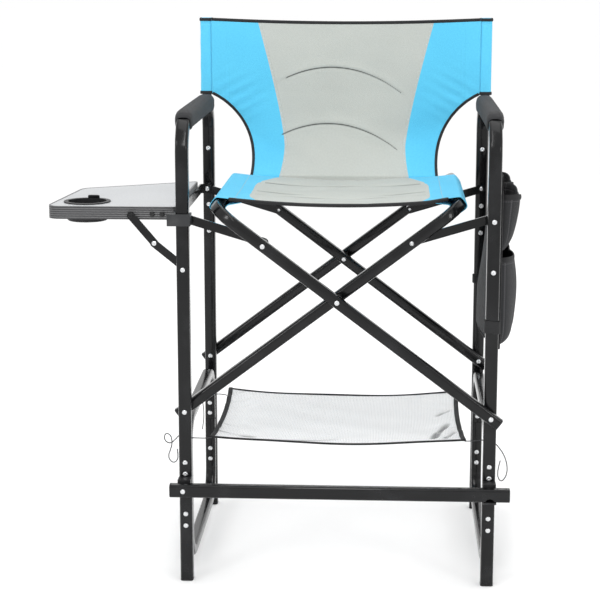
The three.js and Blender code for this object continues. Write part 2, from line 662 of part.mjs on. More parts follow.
function sideBag() {
  const x = legX + halfTube + 1;
  const panel = box(x, x + BAG_PANEL, -BAG_HALF_DEPTH, BAG_HALF_DEPTH, BAG_BOTTOM, BAG_TOP);
  const pockets = BAG_POCKETS.map(({ bottom, top, front, rear, bulge }) => {
    const far = x + BAG_PANEL + bulge;
    const corners = [[x + 1, front, 1], [far, front, 24], [far, rear, 24], [x + 1, rear, 1]];
    return slab(roundedOutline(corners), bottom, top, 3);
  });
  const rooms = BAG_POCKETS.map(({ bottom, top, front, rear, bulge }) => {
    const near = x + BAG_PANEL;
    const far = near + bulge - BAG_PANEL;
    const low = front + BAG_PANEL;
    const high = rear - BAG_PANEL;
    const corners = [[near, low, 1], [far, low, 20], [far, high, 20], [near, high, 1]];
    return slab(roundedOutline(corners), bottom + BAG_PANEL, top + 1, 3);
  });
  return cut(join(panel, ...pockets), ...rooms);
}

function tie(points) {
  const route = new THREE.CatmullRomCurve3(points.map(([x, y, z]) => new THREE.Vector3(x, y, z)));
  const section = new THREE.Shape();
  section.absarc(0, 0, TIE_RADIUS, 0, 2 * Math.PI);
  return new THREE.ExtrudeGeometry(section, {
    steps: 2 * (points.length - 1),
    extrudePath: route,
    curveSegments: 4,
  });
}

// ---- Assembly ----
const chair = new THREE.Group();

function place(name, geometry, material, parent = chair) {
  const mesh = new THREE.Mesh(geometry, material);
  mesh.name = name;
  parent.add(mesh);
  return mesh;
}

for (const [name, side] of [["left", -1], ["right", 1]]) {
  place(name + "_side_tube", sideTube(side), blackTube);
  place(name + "_upper_loop", loop(side, true), blackTube);
  place(name + "_lower_loop", loop(side, false), blackTube);
  place(name + "_front_foot", footPlug(), blackPlastic).position.set(side * legX, -legY, 0);
  place(name + "_rear_foot", footPlug(), blackPlastic).position.set(side * legX, legY, 0);
  const post = place(name + "_back_post", backPost(), blackTube);
  post.position.set(side * (legX + POST_OUTSET), legOuter + POST_GAP + POST / 2, 0);
  place(name + "_arm_pad", armPad(side), greyCloth);
}

// The two halves of the scissor: the second is the first turned half round about the middle.
const ear = {
  front: [-legLink.far + BOARD_GAP, -legLink.far + BOARD_GAP + HINGE_PLATE],
  rear: [barLink.far - BOARD_GAP - HINGE_PLATE, barLink.far - BOARD_GAP],
};
for (const [near, far, turn, front, rear] of [
  ["left", "right", 0, "front", "rear"],
  ["right", "left", Math.PI, "rear", "front"],
]) {
  const half = new THREE.Group();
  half.rotation.z = turn;
  chair.add(half);
  const frame = new THREE.Group();
  frame.position.set(legX, -barLayer, LOWER_PIVOT);
  frame.rotation.y = Math.PI + openAngle;
  half.add(frame);
  place(near + "_seat_tube", seatTube(), blackTube, frame);
  for (const [end, y] of [[front, -legY], [rear, legY]]) {
    const plug = place(near + "_seat_tube_" + end + "_plug", tubePlug(), blackPlastic, frame);
    plug.position.set(-BAR_OVERHANG, y, 0);
  }
  const pin = (name, ...sizes) => place(name, rivet(...sizes), steel, half);
  // lower pivots: the tube lies outside the front leg and inside the rear leg
  pin(far + "_" + front + "_pivot_pin", legX, LOWER_PIVOT, -outerBar.far, -legInner, {
    collar: [-outerBar.near + COLLAR_PLAY, -legOuter - COLLAR_PLAY],
  });
  pin(far + "_" + rear + "_pivot_pin", legX, LOWER_PIVOT, innerBar.far, legOuter, {
    collar: [innerBar.near + COLLAR_PLAY, legInner - COLLAR_PLAY],
  });
  // crossing pivot of this half's front side, with the spacer that keeps the tubes a leg apart
  pin(front + "_crossing_pin", 0, CROSSING, -outerBar.far, -innerBar.far, {
    collar: [-outerBar.near + COLLAR_PLAY, -innerBar.near - COLLAR_PLAY],
  });
  // links on this half's rail side
  const link = (y0, y1) => strap(linkLeg, linkBar, LINK_WIDTH, y0, y1);
  place(near + "_" + front + "_link", link(-legLink.near, -legLink.far), blackTube, half);
  place(near + "_" + rear + "_link", link(barLink.far, barLink.near), blackTube, half);
  // the pins on the tube end short of their links
  const shortOf = -legLink.near - OPEN_GAP;
  pin(near + "_" + front + "_link_tube_pin", linkBar.x, linkBar.z, -outerBar.far, shortOf, {
    headHigh: false,
    collar: [-outerBar.near + COLLAR_PLAY, shortOf - COLLAR_PLAY],
  });
  const rearStart = barLink.near + OPEN_GAP;
  pin(near + "_" + rear + "_link_tube_pin", linkBar.x, linkBar.z, rearStart, innerBar.near, {
    headLow: false,
  });
  const hasTable = turn === 0;
  const frontEnd = hasTable ? ear.front[1] : -legLink.far;
  const rearEnd = hasTable ? ear.rear[0] : barLink.far;
  pin(near + "_" + front + "_link_leg_pin", linkLeg.x, linkLeg.z, -legOuter + (hasTable ? 0 : PIN_PLAY), frontEnd, {
    headLow: hasTable,
  });
  pin(near + "_" + rear + "_link_leg_pin", linkLeg.x, linkLeg.z, rearEnd, legOuter - (hasTable ? PIN_PLAY : 0), {
    headHigh: !hasTable,
    collar: [barLink.near + COLLAR_PLAY, legInner - COLLAR_PLAY],
  });
}

const bar = footBar();
place("foot_bar", bar.geometry, blackTube);
place("left_foot_bar_saddle", saddle(-1, bar), blackPlastic);
place("right_foot_bar_saddle", saddle(1, bar), blackPlastic);
const footPin = rivet(-legX, FOOTBAR_HEIGHT, bar.front, -legOuter + 4, { headHigh: false });
place("foot_bar_pin", footPin, steel);

place("table_rim", tableRim(), ribbedRim);
place("table_board", tableBoard(), paleBoard);
place("table_hinge_strip", tableHinge(ear.front, ear.rear), blackTube);
place("cup_holder", cupHolder(), blackPlastic);
place("table_clamp", tableClamp(), greyPlastic);

// The brace's two flat bars lie in layers between the front leg and the table's front face.
const braceTop = { x: hinge.x - BRACE_TOP.reach, z: BRACE_TOP.height };
const braceElbow = { x: hinge.x - BRACE_ELBOW.reach, z: BRACE_ELBOW.height };
const braceFoot = { x: -legX, z: BRACE_FOOT_HEIGHT };
const lowerBar = -legInner + BRACE_GAP + BRACE_HEAD;
const upperBar = lowerBar + BRACE_THICK + 2 * BRACE_HEAD + BRACE_GAP;
const brace = (from, to, y) => strap(from, to, BRACE_WIDTH, y, y + BRACE_THICK);
place("brace_upper_bar", brace(braceTop, braceElbow, upperBar), blackTube);
place("brace_lower_bar", brace(braceElbow, braceFoot, lowerBar), blackTube);
const bracePins = [
  ["brace_top_pin", braceTop, upperBar, tableFront + RIM_WALL, [upperBar + BRACE_THICK + 0.3, tableFront - 0.3]],
  ["brace_elbow_pin", braceElbow, lowerBar, upperBar - OPEN_GAP, [lowerBar + BRACE_THICK + 0.3, upperBar - 2 * OPEN_GAP]],
  ["brace_foot_pin", braceFoot, -legOuter, lowerBar + BRACE_THICK, [-legInner + 0.3, lowerBar - 0.3]],
];
for (const [name, at, y0, y1, collar] of bracePins) {
  const headHigh = name !== "brace_elbow_pin";
  place(name, rivet(at.x, at.z, y0, y1, { collar, headHigh, head: BRACE_HEAD }), steel);
}

place("seat_fabric", seatFabric(), blueCloth);
place("back_fabric", backFabric(), blueCloth);
place("shelf_net", shelfNet(), whiteMesh);
place("side_bag", sideBag(), greyCloth);

// The footprint's middle is measured on the chair without its hanging ties.
const footprint = new THREE.Box3().setFromObject(chair).getCenter(new THREE.Vector3());
chair.position.set(-footprint.x, -footprint.y, 0);

place("front_left_tie", tie(FRONT_LEFT_TIE), blackCord);
place("front_right_tie", tie(FRONT_RIGHT_TIE), blackCord);
place("rear_left_tie", tie(REAR_LEFT_TIE), blackCord);

export default chair;
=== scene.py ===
import json
import math

import bmesh
import bpy
import numpy as np
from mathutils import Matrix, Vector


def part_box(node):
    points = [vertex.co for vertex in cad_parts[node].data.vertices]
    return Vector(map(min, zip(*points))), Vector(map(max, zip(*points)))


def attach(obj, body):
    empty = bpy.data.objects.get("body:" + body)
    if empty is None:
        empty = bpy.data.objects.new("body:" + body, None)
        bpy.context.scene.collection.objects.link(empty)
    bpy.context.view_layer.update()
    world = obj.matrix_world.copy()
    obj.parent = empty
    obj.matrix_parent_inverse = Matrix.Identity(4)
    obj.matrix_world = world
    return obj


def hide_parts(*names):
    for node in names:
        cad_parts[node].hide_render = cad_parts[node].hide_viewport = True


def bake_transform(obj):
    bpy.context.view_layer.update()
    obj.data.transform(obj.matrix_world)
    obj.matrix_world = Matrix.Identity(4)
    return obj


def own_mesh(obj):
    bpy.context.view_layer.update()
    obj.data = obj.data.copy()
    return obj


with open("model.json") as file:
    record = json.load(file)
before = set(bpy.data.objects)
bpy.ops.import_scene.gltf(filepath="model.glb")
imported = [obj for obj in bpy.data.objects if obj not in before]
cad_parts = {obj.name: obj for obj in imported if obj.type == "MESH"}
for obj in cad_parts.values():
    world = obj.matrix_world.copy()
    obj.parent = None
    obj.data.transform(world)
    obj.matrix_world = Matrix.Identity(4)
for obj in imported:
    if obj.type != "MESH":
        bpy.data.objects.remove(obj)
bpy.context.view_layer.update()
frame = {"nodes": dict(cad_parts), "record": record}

nodes = frame["nodes"]

# ---- Camera, light and floor ----
# A pale studio sweep under large soft lamps, seen from a little above seat height.
left_low, left_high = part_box("left_side_tube")
middle_x = (left_low[0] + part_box("right_side_tube")[1][0]) / 2
middle_y = (left_low[1] + left_high[1]) / 2


def placed(name, data):
    """A new object in the scene for a camera, lamp, mesh or curve."""
    made = bpy.data.objects.new(name, data)
    bpy.context.scene.collection.objects.link(made)
    return made


camera_data = bpy.data.cameras.new("studio_camera")
camera_data.lens = 103.1
camera_data.sensor_width = 36
camera_data.clip_end = 150
camera = placed("studio_camera", camera_data)
camera.location = (middle_x + 0.099, middle_y - 3.485, 1.215)
camera.rotation_euler = (math.radians(78.75), 0, math.radians(3.02))
bpy.context.scene.camera = camera


def soft_lamp(name, place, aim, size, watts, tall=None):
    """An area lamp at a place, turned towards a point: square, or a strip where tall is given."""
    data = bpy.data.lights.new(name, "AREA")
    data.shape = "RECTANGLE"
    data.size = size
    data.size_y = tall or size
    data.energy = watts
    lamp = placed(name, data)
    lamp.location = place
    towards = np.array(aim, float) - np.array(place, float)
    lamp.rotation_euler = (math.acos(-towards[2] / np.linalg.norm(towards)), 0,
                           math.atan2(towards[1], towards[0]) - math.pi / 2)


soft_lamp("strip_lamp", (0.0, -2.2, 2.7), (0.0, 0.0, 0.8), 0.35, 21, tall=2.4)
soft_lamp("top_lamp", (0.1, -0.2, 3.6), (0.1, 0.1, 0.5), 2.0, 18)
soft_lamp("front_left_lamp", (-2.4, -3.2, 2.2), (0, 0, 0.7), 0.8, 22)
soft_lamp("front_right_lamp", (2.8, -2.8, 1.8), (0.1, 0, 0.7), 0.7, 16)
soft_lamp("rear_lamp", (0.4, 3.0, 2.6), (0, 0, 0.8), 2.4, 18)

world = bpy.data.worlds.new("studio")
world.use_nodes = True
background = world.node_tree.nodes["Background"]
background.inputs["Color"].default_value = (1, 1, 1, 1)
background.inputs["Strength"].default_value = 1.03
bpy.context.scene.world = world
bpy.context.scene.view_settings.view_transform = "Standard"

FLOOR_REACH = 60
FLOOR_Z = -0.0005
floor_mesh = bpy.data.meshes.new("floor")
floor_mesh.from_pydata([(x * FLOOR_REACH, y * FLOOR_REACH, FLOOR_Z)
                        for x, y in ((-1, -1), (1, -1), (1, 1), (-1, 1))], [], [(0, 1, 2, 3)])
floor = placed("floor", floor_mesh)
floor_paint = bpy.data.materials.new("floor_paint")
floor_paint.use_nodes = True
floor_shader = floor_paint.node_tree.nodes["Principled BSDF"]
floor_shader.inputs["Base Color"].default_value = (0.975, 0.975, 0.975, 1)
floor_shader.inputs["Roughness"].default_value = 0.9
floor_mesh.materials.append(floor_paint)

# ---- Shelf ties ----
# Thin braided cords, knotted to the shelf's corners and round the legs, with limp free ends.
TIE_DIAMETER = 0.002
TIE_ROUTES = {
    "front_left_tie": ("left_frame", [
        (-249, -211, 283), (-262, -219, 284), (-275, -226, 286), (-287, -228.8, 287), (-300, -229, 287),
        (-310, -231, 292), (-318, -237, 286), (-327, -242, 280), (-335, -246, 284), (-338, -249, 293),
        (-334, -251, 301), (-327, -252, 299), (-323.5, -252, 290), (-323.5, -251, 279), (-327, -250, 267),
        (-330, -249, 256), (-327, -248, 246), (-320, -247, 242), (-314, -246, 247), (-312.5, -246, 258),
        (-313.5, -246, 269)]),
    "front_right_tie": ("right_frame", [
        (251, -211, 283), (264, -219, 286), (276, -226, 289), (287, -228.8, 291), (300, -229, 289),
        (310, -231, 284), (318, -236, 276), (325, -240, 266), (330, -242, 254), (332.5, -243, 242),
        (332, -244, 229), (328, -245, 219), (321.5, -246, 214), (316, -247, 220), (314.5, -248, 231),
        (316, -249, 244), (318.5, -250, 256)]),
    "rear_left_tie": ("left_frame", [
        (-257, 192, 266), (-265, 198, 266), (-275, 203, 265.5), (-286, 206, 264.5), (-299, 206.6, 263),
        (-308, 208, 260), (-312.5, 212, 252), (-313, 215, 240), (-312, 216, 228), (-311.5, 216, 215),
        (-312, 216, 203), (-313.5, 215, 191), (-315, 214, 181)]),
}


def feed(tree, socket, value):
    """Links another node's output to a socket, or sets its plain value."""
    if isinstance(value, bpy.types.NodeSocket):
        tree.links.new(value, socket)
    else:
        socket.default_value = value


def add(tree, kind, links=(), **settings):
    """A node of a kind: settings are its properties, links its inputs as (name, value or socket)."""
    node = tree.nodes.new(kind)
    for name, value in settings.items():
        setattr(node, name, value)
    for name, value in links:
        feed(tree, node.inputs[name], value)
    return node


def calc(tree, operation, *values):
    """One step of arithmetic on numbers or sockets."""
    return add(tree, "ShaderNodeMath", list(enumerate(values)), operation=operation).outputs[0]


def bump_normal(tree, strength, distance, height):
    """The normal of a surface raised by its height times the distance."""
    return add(tree, "ShaderNodeBump", [("Strength", strength), ("Distance", distance),
                                        ("Height", height)]).outputs[0]


def blend_colour(tree, factor, first, second):
    """The first colour where factor is 0 and the second where it is 1."""
    node = add(tree, "ShaderNodeMix", ((0, factor), (6, first), (7, second)), data_type="RGBA")
    return node.outputs[2]


def new_group(name, inputs, outputs):
    """A shader node group with number or vector inputs and colour, number or normal outputs."""
    group = bpy.data.node_groups.new(name, "ShaderNodeTree")
    for label, kind, default in inputs:
        socket = group.interface.new_socket(label, in_out="INPUT", socket_type="NodeSocket" + kind)
        if default is not None:
            socket.default_value = default
    for label, kind in outputs:
        group.interface.new_socket(label, in_out="OUTPUT", socket_type="NodeSocket" + kind)
    return group, group.nodes.new("NodeGroupInput").outputs, group.nodes.new("NodeGroupOutput").inputs


def use_group(tree, group, links=()):
    """A node group placed in a material's tree."""
    node = add(tree, "ShaderNodeGroup", node_tree=group)
    for name, value in links:
        feed(tree, node.inputs[name], value)
    return node.outputs


def material(name, constants):
    """A new material with its Principled shader's constants set; returns it, its tree and the shader."""
    made = bpy.data.materials.new(name)
    made.use_nodes = True
    tree = made.node_tree
    shader = tree.nodes["Principled BSDF"]
    for label, value in constants.items():
        shader.inputs[label].default_value = value
    return made, tree, shader


def dress(tree, shader, colour, roughness=None, normal=None):
    """Links what it is given to the shader's colour, roughness and normal."""
    for label, source in (("Base Color", colour), ("Roughness", roughness), ("Normal", normal)):
        if source is not None:
            tree.links.new(source, shader.inputs[label])


tie_cloth, tree, shader = material("braided_cord", {"Roughness": 0.85})
place = add(tree, "ShaderNodeTexCoord").outputs["Object"]
strands = add(tree, "ShaderNodeTexWave", [("Vector", place), ("Scale", 420.0), ("Distortion", 2.0)],
              bands_direction="DIAGONAL").outputs["Fac"]
dress(tree, shader, blend_colour(tree, strands, (0.018, 0.018, 0.02, 1), (0.06, 0.06, 0.065, 1)),
      normal=bump_normal(tree, 0.5, 0.0004, strands))

for name, (body, route) in TIE_ROUTES.items():
    points = np.array(route) / 1000 + (middle_x, middle_y, 0)
    curve = bpy.data.curves.new(name + "_cord", "CURVE")
    curve.dimensions = "3D"
    curve.bevel_depth = TIE_DIAMETER / 2
    curve.bevel_resolution = 3
    curve.resolution_u = 6
    curve.use_fill_caps = True
    spline = curve.splines.new("BEZIER")
    spline.bezier_points.add(len(points) - 1)
    spline.bezier_points.foreach_set("co", points.ravel())
    for point in spline.bezier_points:
        point.handle_left_type = point.handle_right_type = "AUTO"
    cord = placed(name + "_cord", curve)
    curve.materials.append(tie_cloth)
    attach(cord, body)
    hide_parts(name)

# ---- Tubes ----
# Square steel tube with rounded corners, bent cold and coated in gloss black powder, which
# leaves a faint orange-peel skin with a few dusty and rubbed patches.
TUBE_BLACK = (0.0035, 0.0037, 0.0042, 1)
RUBBED_BLACK = (0.012, 0.0125, 0.0135, 1)


def noise(tree, scale, detail, place=None):
    """Soft noise between 0 and 1, on the piece's own coordinates unless a place is given."""
    place = place or add(tree, "ShaderNodeTexCoord").outputs["Object"]
    return add(tree, "ShaderNodeTexNoise",
               [("Vector", place), ("Scale", scale), ("Detail", detail)]).outputs["Fac"]


def spread(tree, value, low, high, at_low=0.0, at_high=1.0, kind="LINEAR"):
    """Maps the range low to high onto at_low to at_high, and holds the value at both ends."""
    return add(tree, "ShaderNodeMapRange",
               [("Value", value), ("From Min", low), ("From Max", high), ("To Min", at_low),
                ("To Max", at_high)], interpolation_type=kind).outputs[0]


coat_group, given, out = new_group(
    "powder coat", [("Peel", "Float", 0.25)],
    [("Color", "Color"), ("Roughness", "Float"), ("Normal", "Vector")])
tree = coat_group
peel = noise(tree, 900.0, 2.0)
haze = noise(tree, 14.0, 6.0)
rubbed = spread(tree, haze, 0.5, 0.75)
tree.links.new(blend_colour(tree, rubbed, TUBE_BLACK, RUBBED_BLACK), out["Color"])
tree.links.new(calc(tree, "MULTIPLY_ADD", haze, 0.16, 0.10), out["Roughness"])
tree.links.new(bump_normal(tree, given["Peel"], 0.0003, peel), out["Normal"])

tube_paint, tree, shader = material("gloss_black_powder_coat", {
    "Coat Weight": 0.2, "Coat Roughness": 0.05, "Specular IOR Level": 0.18})
dress(tree, shader, *use_group(tree, coat_group))


def finish_nodes(names, made):
    """Gives carried-over frame parts their finish."""
    for name in names:
        data = nodes[name].data
        data.materials.clear()
        data.materials.append(made)


finish_nodes([side + part for side in ("left", "right")
              for part in ("_side_tube", "_upper_loop", "_lower_loop", "_back_post", "_seat_tube",
                           "_front_link", "_rear_link")], tube_paint)
finish_nodes(["foot_bar", "brace_upper_bar", "brace_lower_bar", "table_hinge_strip"], tube_paint)


# smooth copies of the bent tubes, so that light runs round the bends without a break
SMOOTH_UP_TO = math.radians(50)
body_of = {name: body for body, held in frame["record"]["behaviour"]["bodies"].items() for name in held}
for name in [side + part for side in ("left", "right")
             for part in ("_side_tube", "_upper_loop", "_lower_loop", "_seat_tube")] + ["foot_bar"]:
    data = nodes[name].data.copy()
    working = bmesh.new()
    working.from_mesh(data)
    bmesh.ops.remove_doubles(working, verts=working.verts, dist=0.00001)
    for face in working.faces:
        face.smooth = True
    for edge in working.edges:
        edge.smooth = edge.calc_face_angle(0) < SMOOTH_UP_TO
    working.to_mesh(data)
    working.free()
    tube = placed(name + "_coated", data)
    weighted = tube.modifiers.new("weighted_normals", "WEIGHTED_NORMAL")
    weighted.keep_sharp = True
    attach(tube, body_of[name])
    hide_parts(name)

# ---- Rivets ----
# Zinc-bright domed rivet heads, dished in the middle by the setting tool.
RIVET_HEAD = np.array([
    (0.00005, 0.0019), (0.0012, 0.0016), (0.0020, 0.0022), (0.0034, 0.0021), (0.0045, 0.0014),
    (0.0051, 0.0003), (0.0050, -0.0003), (0.00005, -0.0003)])
LEG_X = 0.297
LEG_FACE_FRONT = middle_y - 0.2565
LEG_FACE_REAR = middle_y + 0.2565
LEG_FACE_REAR_FRONT = middle_y + 0.2315
LOOP_RIVETS = (0.244, 0.221, 0.139, 0.115)
UPPER_RIVET = (0.628,)
POST_RIVETS = (0.810, 0.687)
POST_RIVET_OUT = 0.004
LOOP_TUBE = 0.022
HEAD_INSET = 0.0018

zinc, tree, shader = material("bright_zinc", {"Metallic": 1.0})
scuffs = noise(tree, 700.0, 4.0)
dress(tree, shader, blend_colour(tree, scuffs, (0.50, 0.51, 0.52, 1), (0.82, 0.83, 0.84, 1)),
      calc(tree, "MULTIPLY_ADD", scuffs, 0.25, 0.15))
finish_nodes([name for name in nodes if name.endswith("_pin") and name != "brace_top_pin"], zinc)
finish_nodes(["brace_top_pin"], tube_paint)


def weld(data, reach=0.00012):
    """Merges the tiny ring at each pole into one point, so the surface is closed."""
    working = bmesh.new()
    working.from_mesh(data)
    bmesh.ops.remove_doubles(working, verts=working.verts, dist=reach)
    working.to_mesh(data)
    working.free()


def grid_quads(rows, columns, around, start=0):
    """The quads of a grid of points numbered row by row; around joins each row's end to its start."""
    index = start + np.arange(rows * columns).reshape(rows, columns)
    across = np.concatenate([index, index[:, :1]], axis=1) if around else index
    return np.stack([across[:-1, :-1], across[:-1, 1:], across[1:, 1:], across[1:, :-1]],
                    axis=-1).reshape(-1, 4)


def gathered(*parts):
    """Arrays of coordinates spread over one grid and put together, as points or as a cloth map."""
    return np.stack(np.broadcast_arrays(*parts), axis=-1)


def joined_rings(name, parts, body, made, flip):
    """Several closed shapes in one mesh. Each part is rings of points with poles at its two ends,
    and flip turns the faces over where the rings run the other way."""
    rows, steps = parts[0].shape[:2]
    quads = np.concatenate([grid_quads(rows, steps, True, start=number * rows * steps)
                            for number in range(len(parts))])
    data = bpy.data.meshes.new(name)
    data.from_pydata(np.concatenate([part.reshape(-1, 3) for part in parts]).tolist(), [],
                     (quads[:, ::-1] if flip else quads).tolist())
    weld(data)
    data.shade_smooth()
    data.materials.append(made)
    piece = placed(name, data)
    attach(piece, body)
    return piece


def rivet_heads(name, places, direction, body, made=zinc, slot="steel"):
    """Rivet heads at each place, spun about Y from their profile and facing front (-1) or rear (1)."""
    angle = np.linspace(0, 2 * np.pi, 24, endpoint=False)
    ring = gathered(RIVET_HEAD[:, :1] * np.cos(angle), direction * RIVET_HEAD[:, 1:],
                    RIVET_HEAD[:, :1] * np.sin(angle))
    joined_rings(name, [ring + np.array(at) for at in places], body, made, direction < 0)


loop_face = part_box("left_upper_loop")[1][1] - LOOP_TUBE
pin_places = {}
for name in nodes:
    if name.endswith("_pin"):
        low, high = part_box(name)
        pin_places[name] = ((low[0] + high[0]) / 2, low[1], high[1], (low[2] + high[2]) / 2)
for side, body in ((-1, "left_frame"), (1, "right_frame")):
    x = middle_x + side * LEG_X
    front = [(x, LEG_FACE_FRONT, z) for z in (LOOP_RIVETS if side < 0 else UPPER_RIVET + LOOP_RIVETS)]
    rear_front = [(x, LEG_FACE_REAR_FRONT, z) for z in POST_RIVETS + UPPER_RIVET]
    rear_front += [(x, loop_face, z) for z in LOOP_RIVETS]
    rear = [(x, LEG_FACE_REAR, z) for z in UPPER_RIVET + LOOP_RIVETS]
    post_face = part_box("left_back_post" if side < 0 else "right_back_post")[1][1]
    posts = [(x + side * POST_RIVET_OUT, post_face, z) for z in POST_RIVETS]
    rivet_heads(body + "_front_rivets", front + rear_front, -1, body)
    rivet_heads(body + "_rear_rivets", rear + posts, 1, body)
for body in ("left_frame", "right_frame", "left_seat_tube", "right_seat_tube", "table"):
    held = [name for name in frame["record"]["behaviour"]["bodies"][body] if name.endswith("_pin")]
    lows, highs = [], []
    for name in held:
        x, low, high, z = pin_places[name]
        if name not in ("brace_elbow_pin", "right_rear_link_leg_pin", "left_rear_link_tube_pin",
                        "right_front_link_tube_pin"):
            lows.append((x, low + HEAD_INSET, z))
        if name in ("right_front_pivot_pin", "left_front_pivot_pin", "right_rear_pivot_pin",
                    "left_rear_pivot_pin", "right_rear_link_leg_pin"):
            highs.append((x, high - HEAD_INSET, z))
    if lows:
        rivet_heads(body + "_pin_heads", lows, -1, body,
                    *((tube_paint, "black_tube") if body == "table" else (zinc, "steel")))
    if highs:
        rivet_heads(body + "_pin_tails", highs, 1, body)

# ---- Moulded plastic ----
# Black injection-moulded feet, tube plugs, bar saddles and cup holder, and a grey clamp,
# with a fine spark-eroded grain.
grain_group, given, out = new_group(
    "moulded grain", [("Tint", "Color", (0.02, 0.02, 0.02, 1))],
    [("Color", "Color"), ("Roughness", "Float"), ("Normal", "Vector")])
tree = grain_group
grain = noise(tree, 1600.0, 3.0)
dust = noise(tree, 45.0, 5.0)
dusty = spread(tree, dust, 0.45, 0.8, 0.0, 0.12)
tree.links.new(blend_colour(tree, dusty, given["Tint"], (0.16, 0.16, 0.16, 1)), out["Color"])
tree.links.new(calc(tree, "MULTIPLY_ADD", dust, 0.2, 0.38), out["Roughness"])
tree.links.new(bump_normal(tree, 0.3, 0.0003, grain), out["Normal"])


def moulded(name, tint):
    """A moulded plastic material in one tint."""
    made, tree, shader = material(name, {"Specular IOR Level": 0.35})
    dress(tree, shader, *use_group(tree, grain_group, [("Tint", tint)]))
    return made


black_plastic = moulded("black_moulding", (0.007, 0.007, 0.008, 1))
grey_plastic = moulded("grey_moulding", (0.022, 0.023, 0.025, 1))
# The black bar saddles fill the dark band just above the foot bar on each leg, a band of shade and reflection
# from the bar: painted shade in the form of a part.
finish_nodes([name for name in nodes if name.endswith(("_foot", "_plug", "_saddle"))] + ["cup_holder"],
             black_plastic)
finish_nodes(["table_clamp"], grey_plastic)

# ---- Woven cloth ----
# Plain-woven polyester for the seat, back, pads and bag. Its threads run along the cloth map,
# which is in metres. Sewn lines sit in a small groove between puckers, with pale or dark thread.
THREAD_PITCH = 0.0011


def cloth_axes(tree):
    """The cloth map in metres and its two directions apart."""
    cloth_map = add(tree, "ShaderNodeUVMap", uv_map="cloth").outputs[0]
    return cloth_map, add(tree, "ShaderNodeSeparateXYZ", [("Vector", cloth_map)]).outputs


def read_mark(tree, label):
    """A named number that the mesh carries at its points."""
    return add(tree, "ShaderNodeAttribute", attribute_name=label).outputs["Fac"]


weave_group, given, out = new_group(
    "plain weave", [("Pitch", "Float", THREAD_PITCH), ("Depth", "Float", 0.5)],
    [("Shade", "Float"), ("Height", "Float")])
tree = weave_group
cloth_map, split = cloth_axes(tree)
warp, weft = (calc(tree, "SINE", calc(tree, "DIVIDE", calc(tree, "MULTIPLY", split[axis], 2 * math.pi),
                                      given["Pitch"])) for axis in "XY")
threads = calc(tree, "MULTIPLY", warp, weft)
slubs = noise(tree, 260.0, 5.0, cloth_map)
soft = noise(tree, 9.0, 4.0, cloth_map)
tree.links.new(calc(tree, "ADD", calc(tree, "MULTIPLY", threads, 0.10),
                    calc(tree, "ADD", calc(tree, "MULTIPLY_ADD", slubs, 0.5, 0.25),
                         calc(tree, "MULTIPLY_ADD", soft, 0.3, -0.15))), out["Shade"])
tree.links.new(calc(tree, "MULTIPLY", given["Depth"],
                    calc(tree, "ADD", calc(tree, "MULTIPLY", threads, 0.5), slubs)),
               out["Height"])

seam_group, given, out = new_group(
    "sewn line", [("Distance", "Float", 1.0), ("Along", "Float", 0.0), ("Stitch", "Float", 0.0042)],
    [("Thread", "Float"), ("Height", "Float")])
tree = seam_group
away = calc(tree, "ABSOLUTE", given["Distance"])
near = spread(tree, away, 0.0004, 0.0009, 1.0, 0.0)
step = calc(tree, "FRACT", calc(tree, "DIVIDE", given["Along"], given["Stitch"]))
dash = calc(tree, "MULTIPLY", calc(tree, "GREATER_THAN", step, 0.12), calc(tree, "LESS_THAN", step, 0.82))
thread = calc(tree, "MULTIPLY", near, dash)
groove = spread(tree, away, 0.0, 0.004, -2.2, 0.0, "SMOOTHSTEP")
gathers = calc(tree, "SINE", calc(tree, "MULTIPLY", given["Along"], 700.0))
pucker = calc(tree, "MULTIPLY", groove, calc(tree, "MULTIPLY_ADD", gathers, 0.25, 1.0))
tree.links.new(thread, out["Thread"])
tree.links.new(calc(tree, "ADD", pucker, calc(tree, "MULTIPLY", thread, 1.6)), out["Height"])


def cloth(name, base_dark, base_light, panel=None, seams=(), thread=(0.75, 0.76, 0.76, 1), depth=0.5,
          pitch=THREAD_PITCH, sheen=0.2):
    """Woven cloth from a dark and a light thread colour. panel is a second pair of colours where the
    mark 'panel' is above 0; seams name marks holding the distance to a sewn line in metres."""
    made, tree, shader = material(name, {"Roughness": 0.88, "Sheen Weight": sheen,
                                         "Sheen Roughness": 0.45})
    weave = use_group(tree, weave_group, [("Pitch", pitch), ("Depth", depth)])
    colour = blend_colour(tree, weave["Shade"], base_dark, base_light)
    height = weave["Height"]
    split = cloth_axes(tree)[1]
    if panel:
        inside = calc(tree, "GREATER_THAN", read_mark(tree, "panel"), 0.0)
        colour = blend_colour(tree, inside, colour, blend_colour(tree, weave["Shade"], *panel))
    for label, along in seams:
        line = use_group(tree, seam_group, [("Distance", read_mark(tree, label)), ("Along", split[along])])
        colour = blend_colour(tree, line["Thread"], colour, thread)
        height = calc(tree, "ADD", height, line["Height"])
    dress(tree, shader, colour, normal=bump_normal(tree, 0.6, 0.0006, height))
    return made


def paint_tuck_shade(made, colour, reach=0.0022):
    """Paints shade into a cloth material along the mark 'tuck', the distance to a folded tuck in metres: the
    colour given is a painted shadow in the fold.
    """
    tree = made.node_tree
    shader = tree.nodes["Principled BSDF"]
    shadow = spread(tree, read_mark(tree, "tuck"), 0.0008, reach)
    plain = shader.inputs["Base Color"].links[0].from_socket
    dress(tree, shader, blend_colour(tree, shadow, colour, plain))


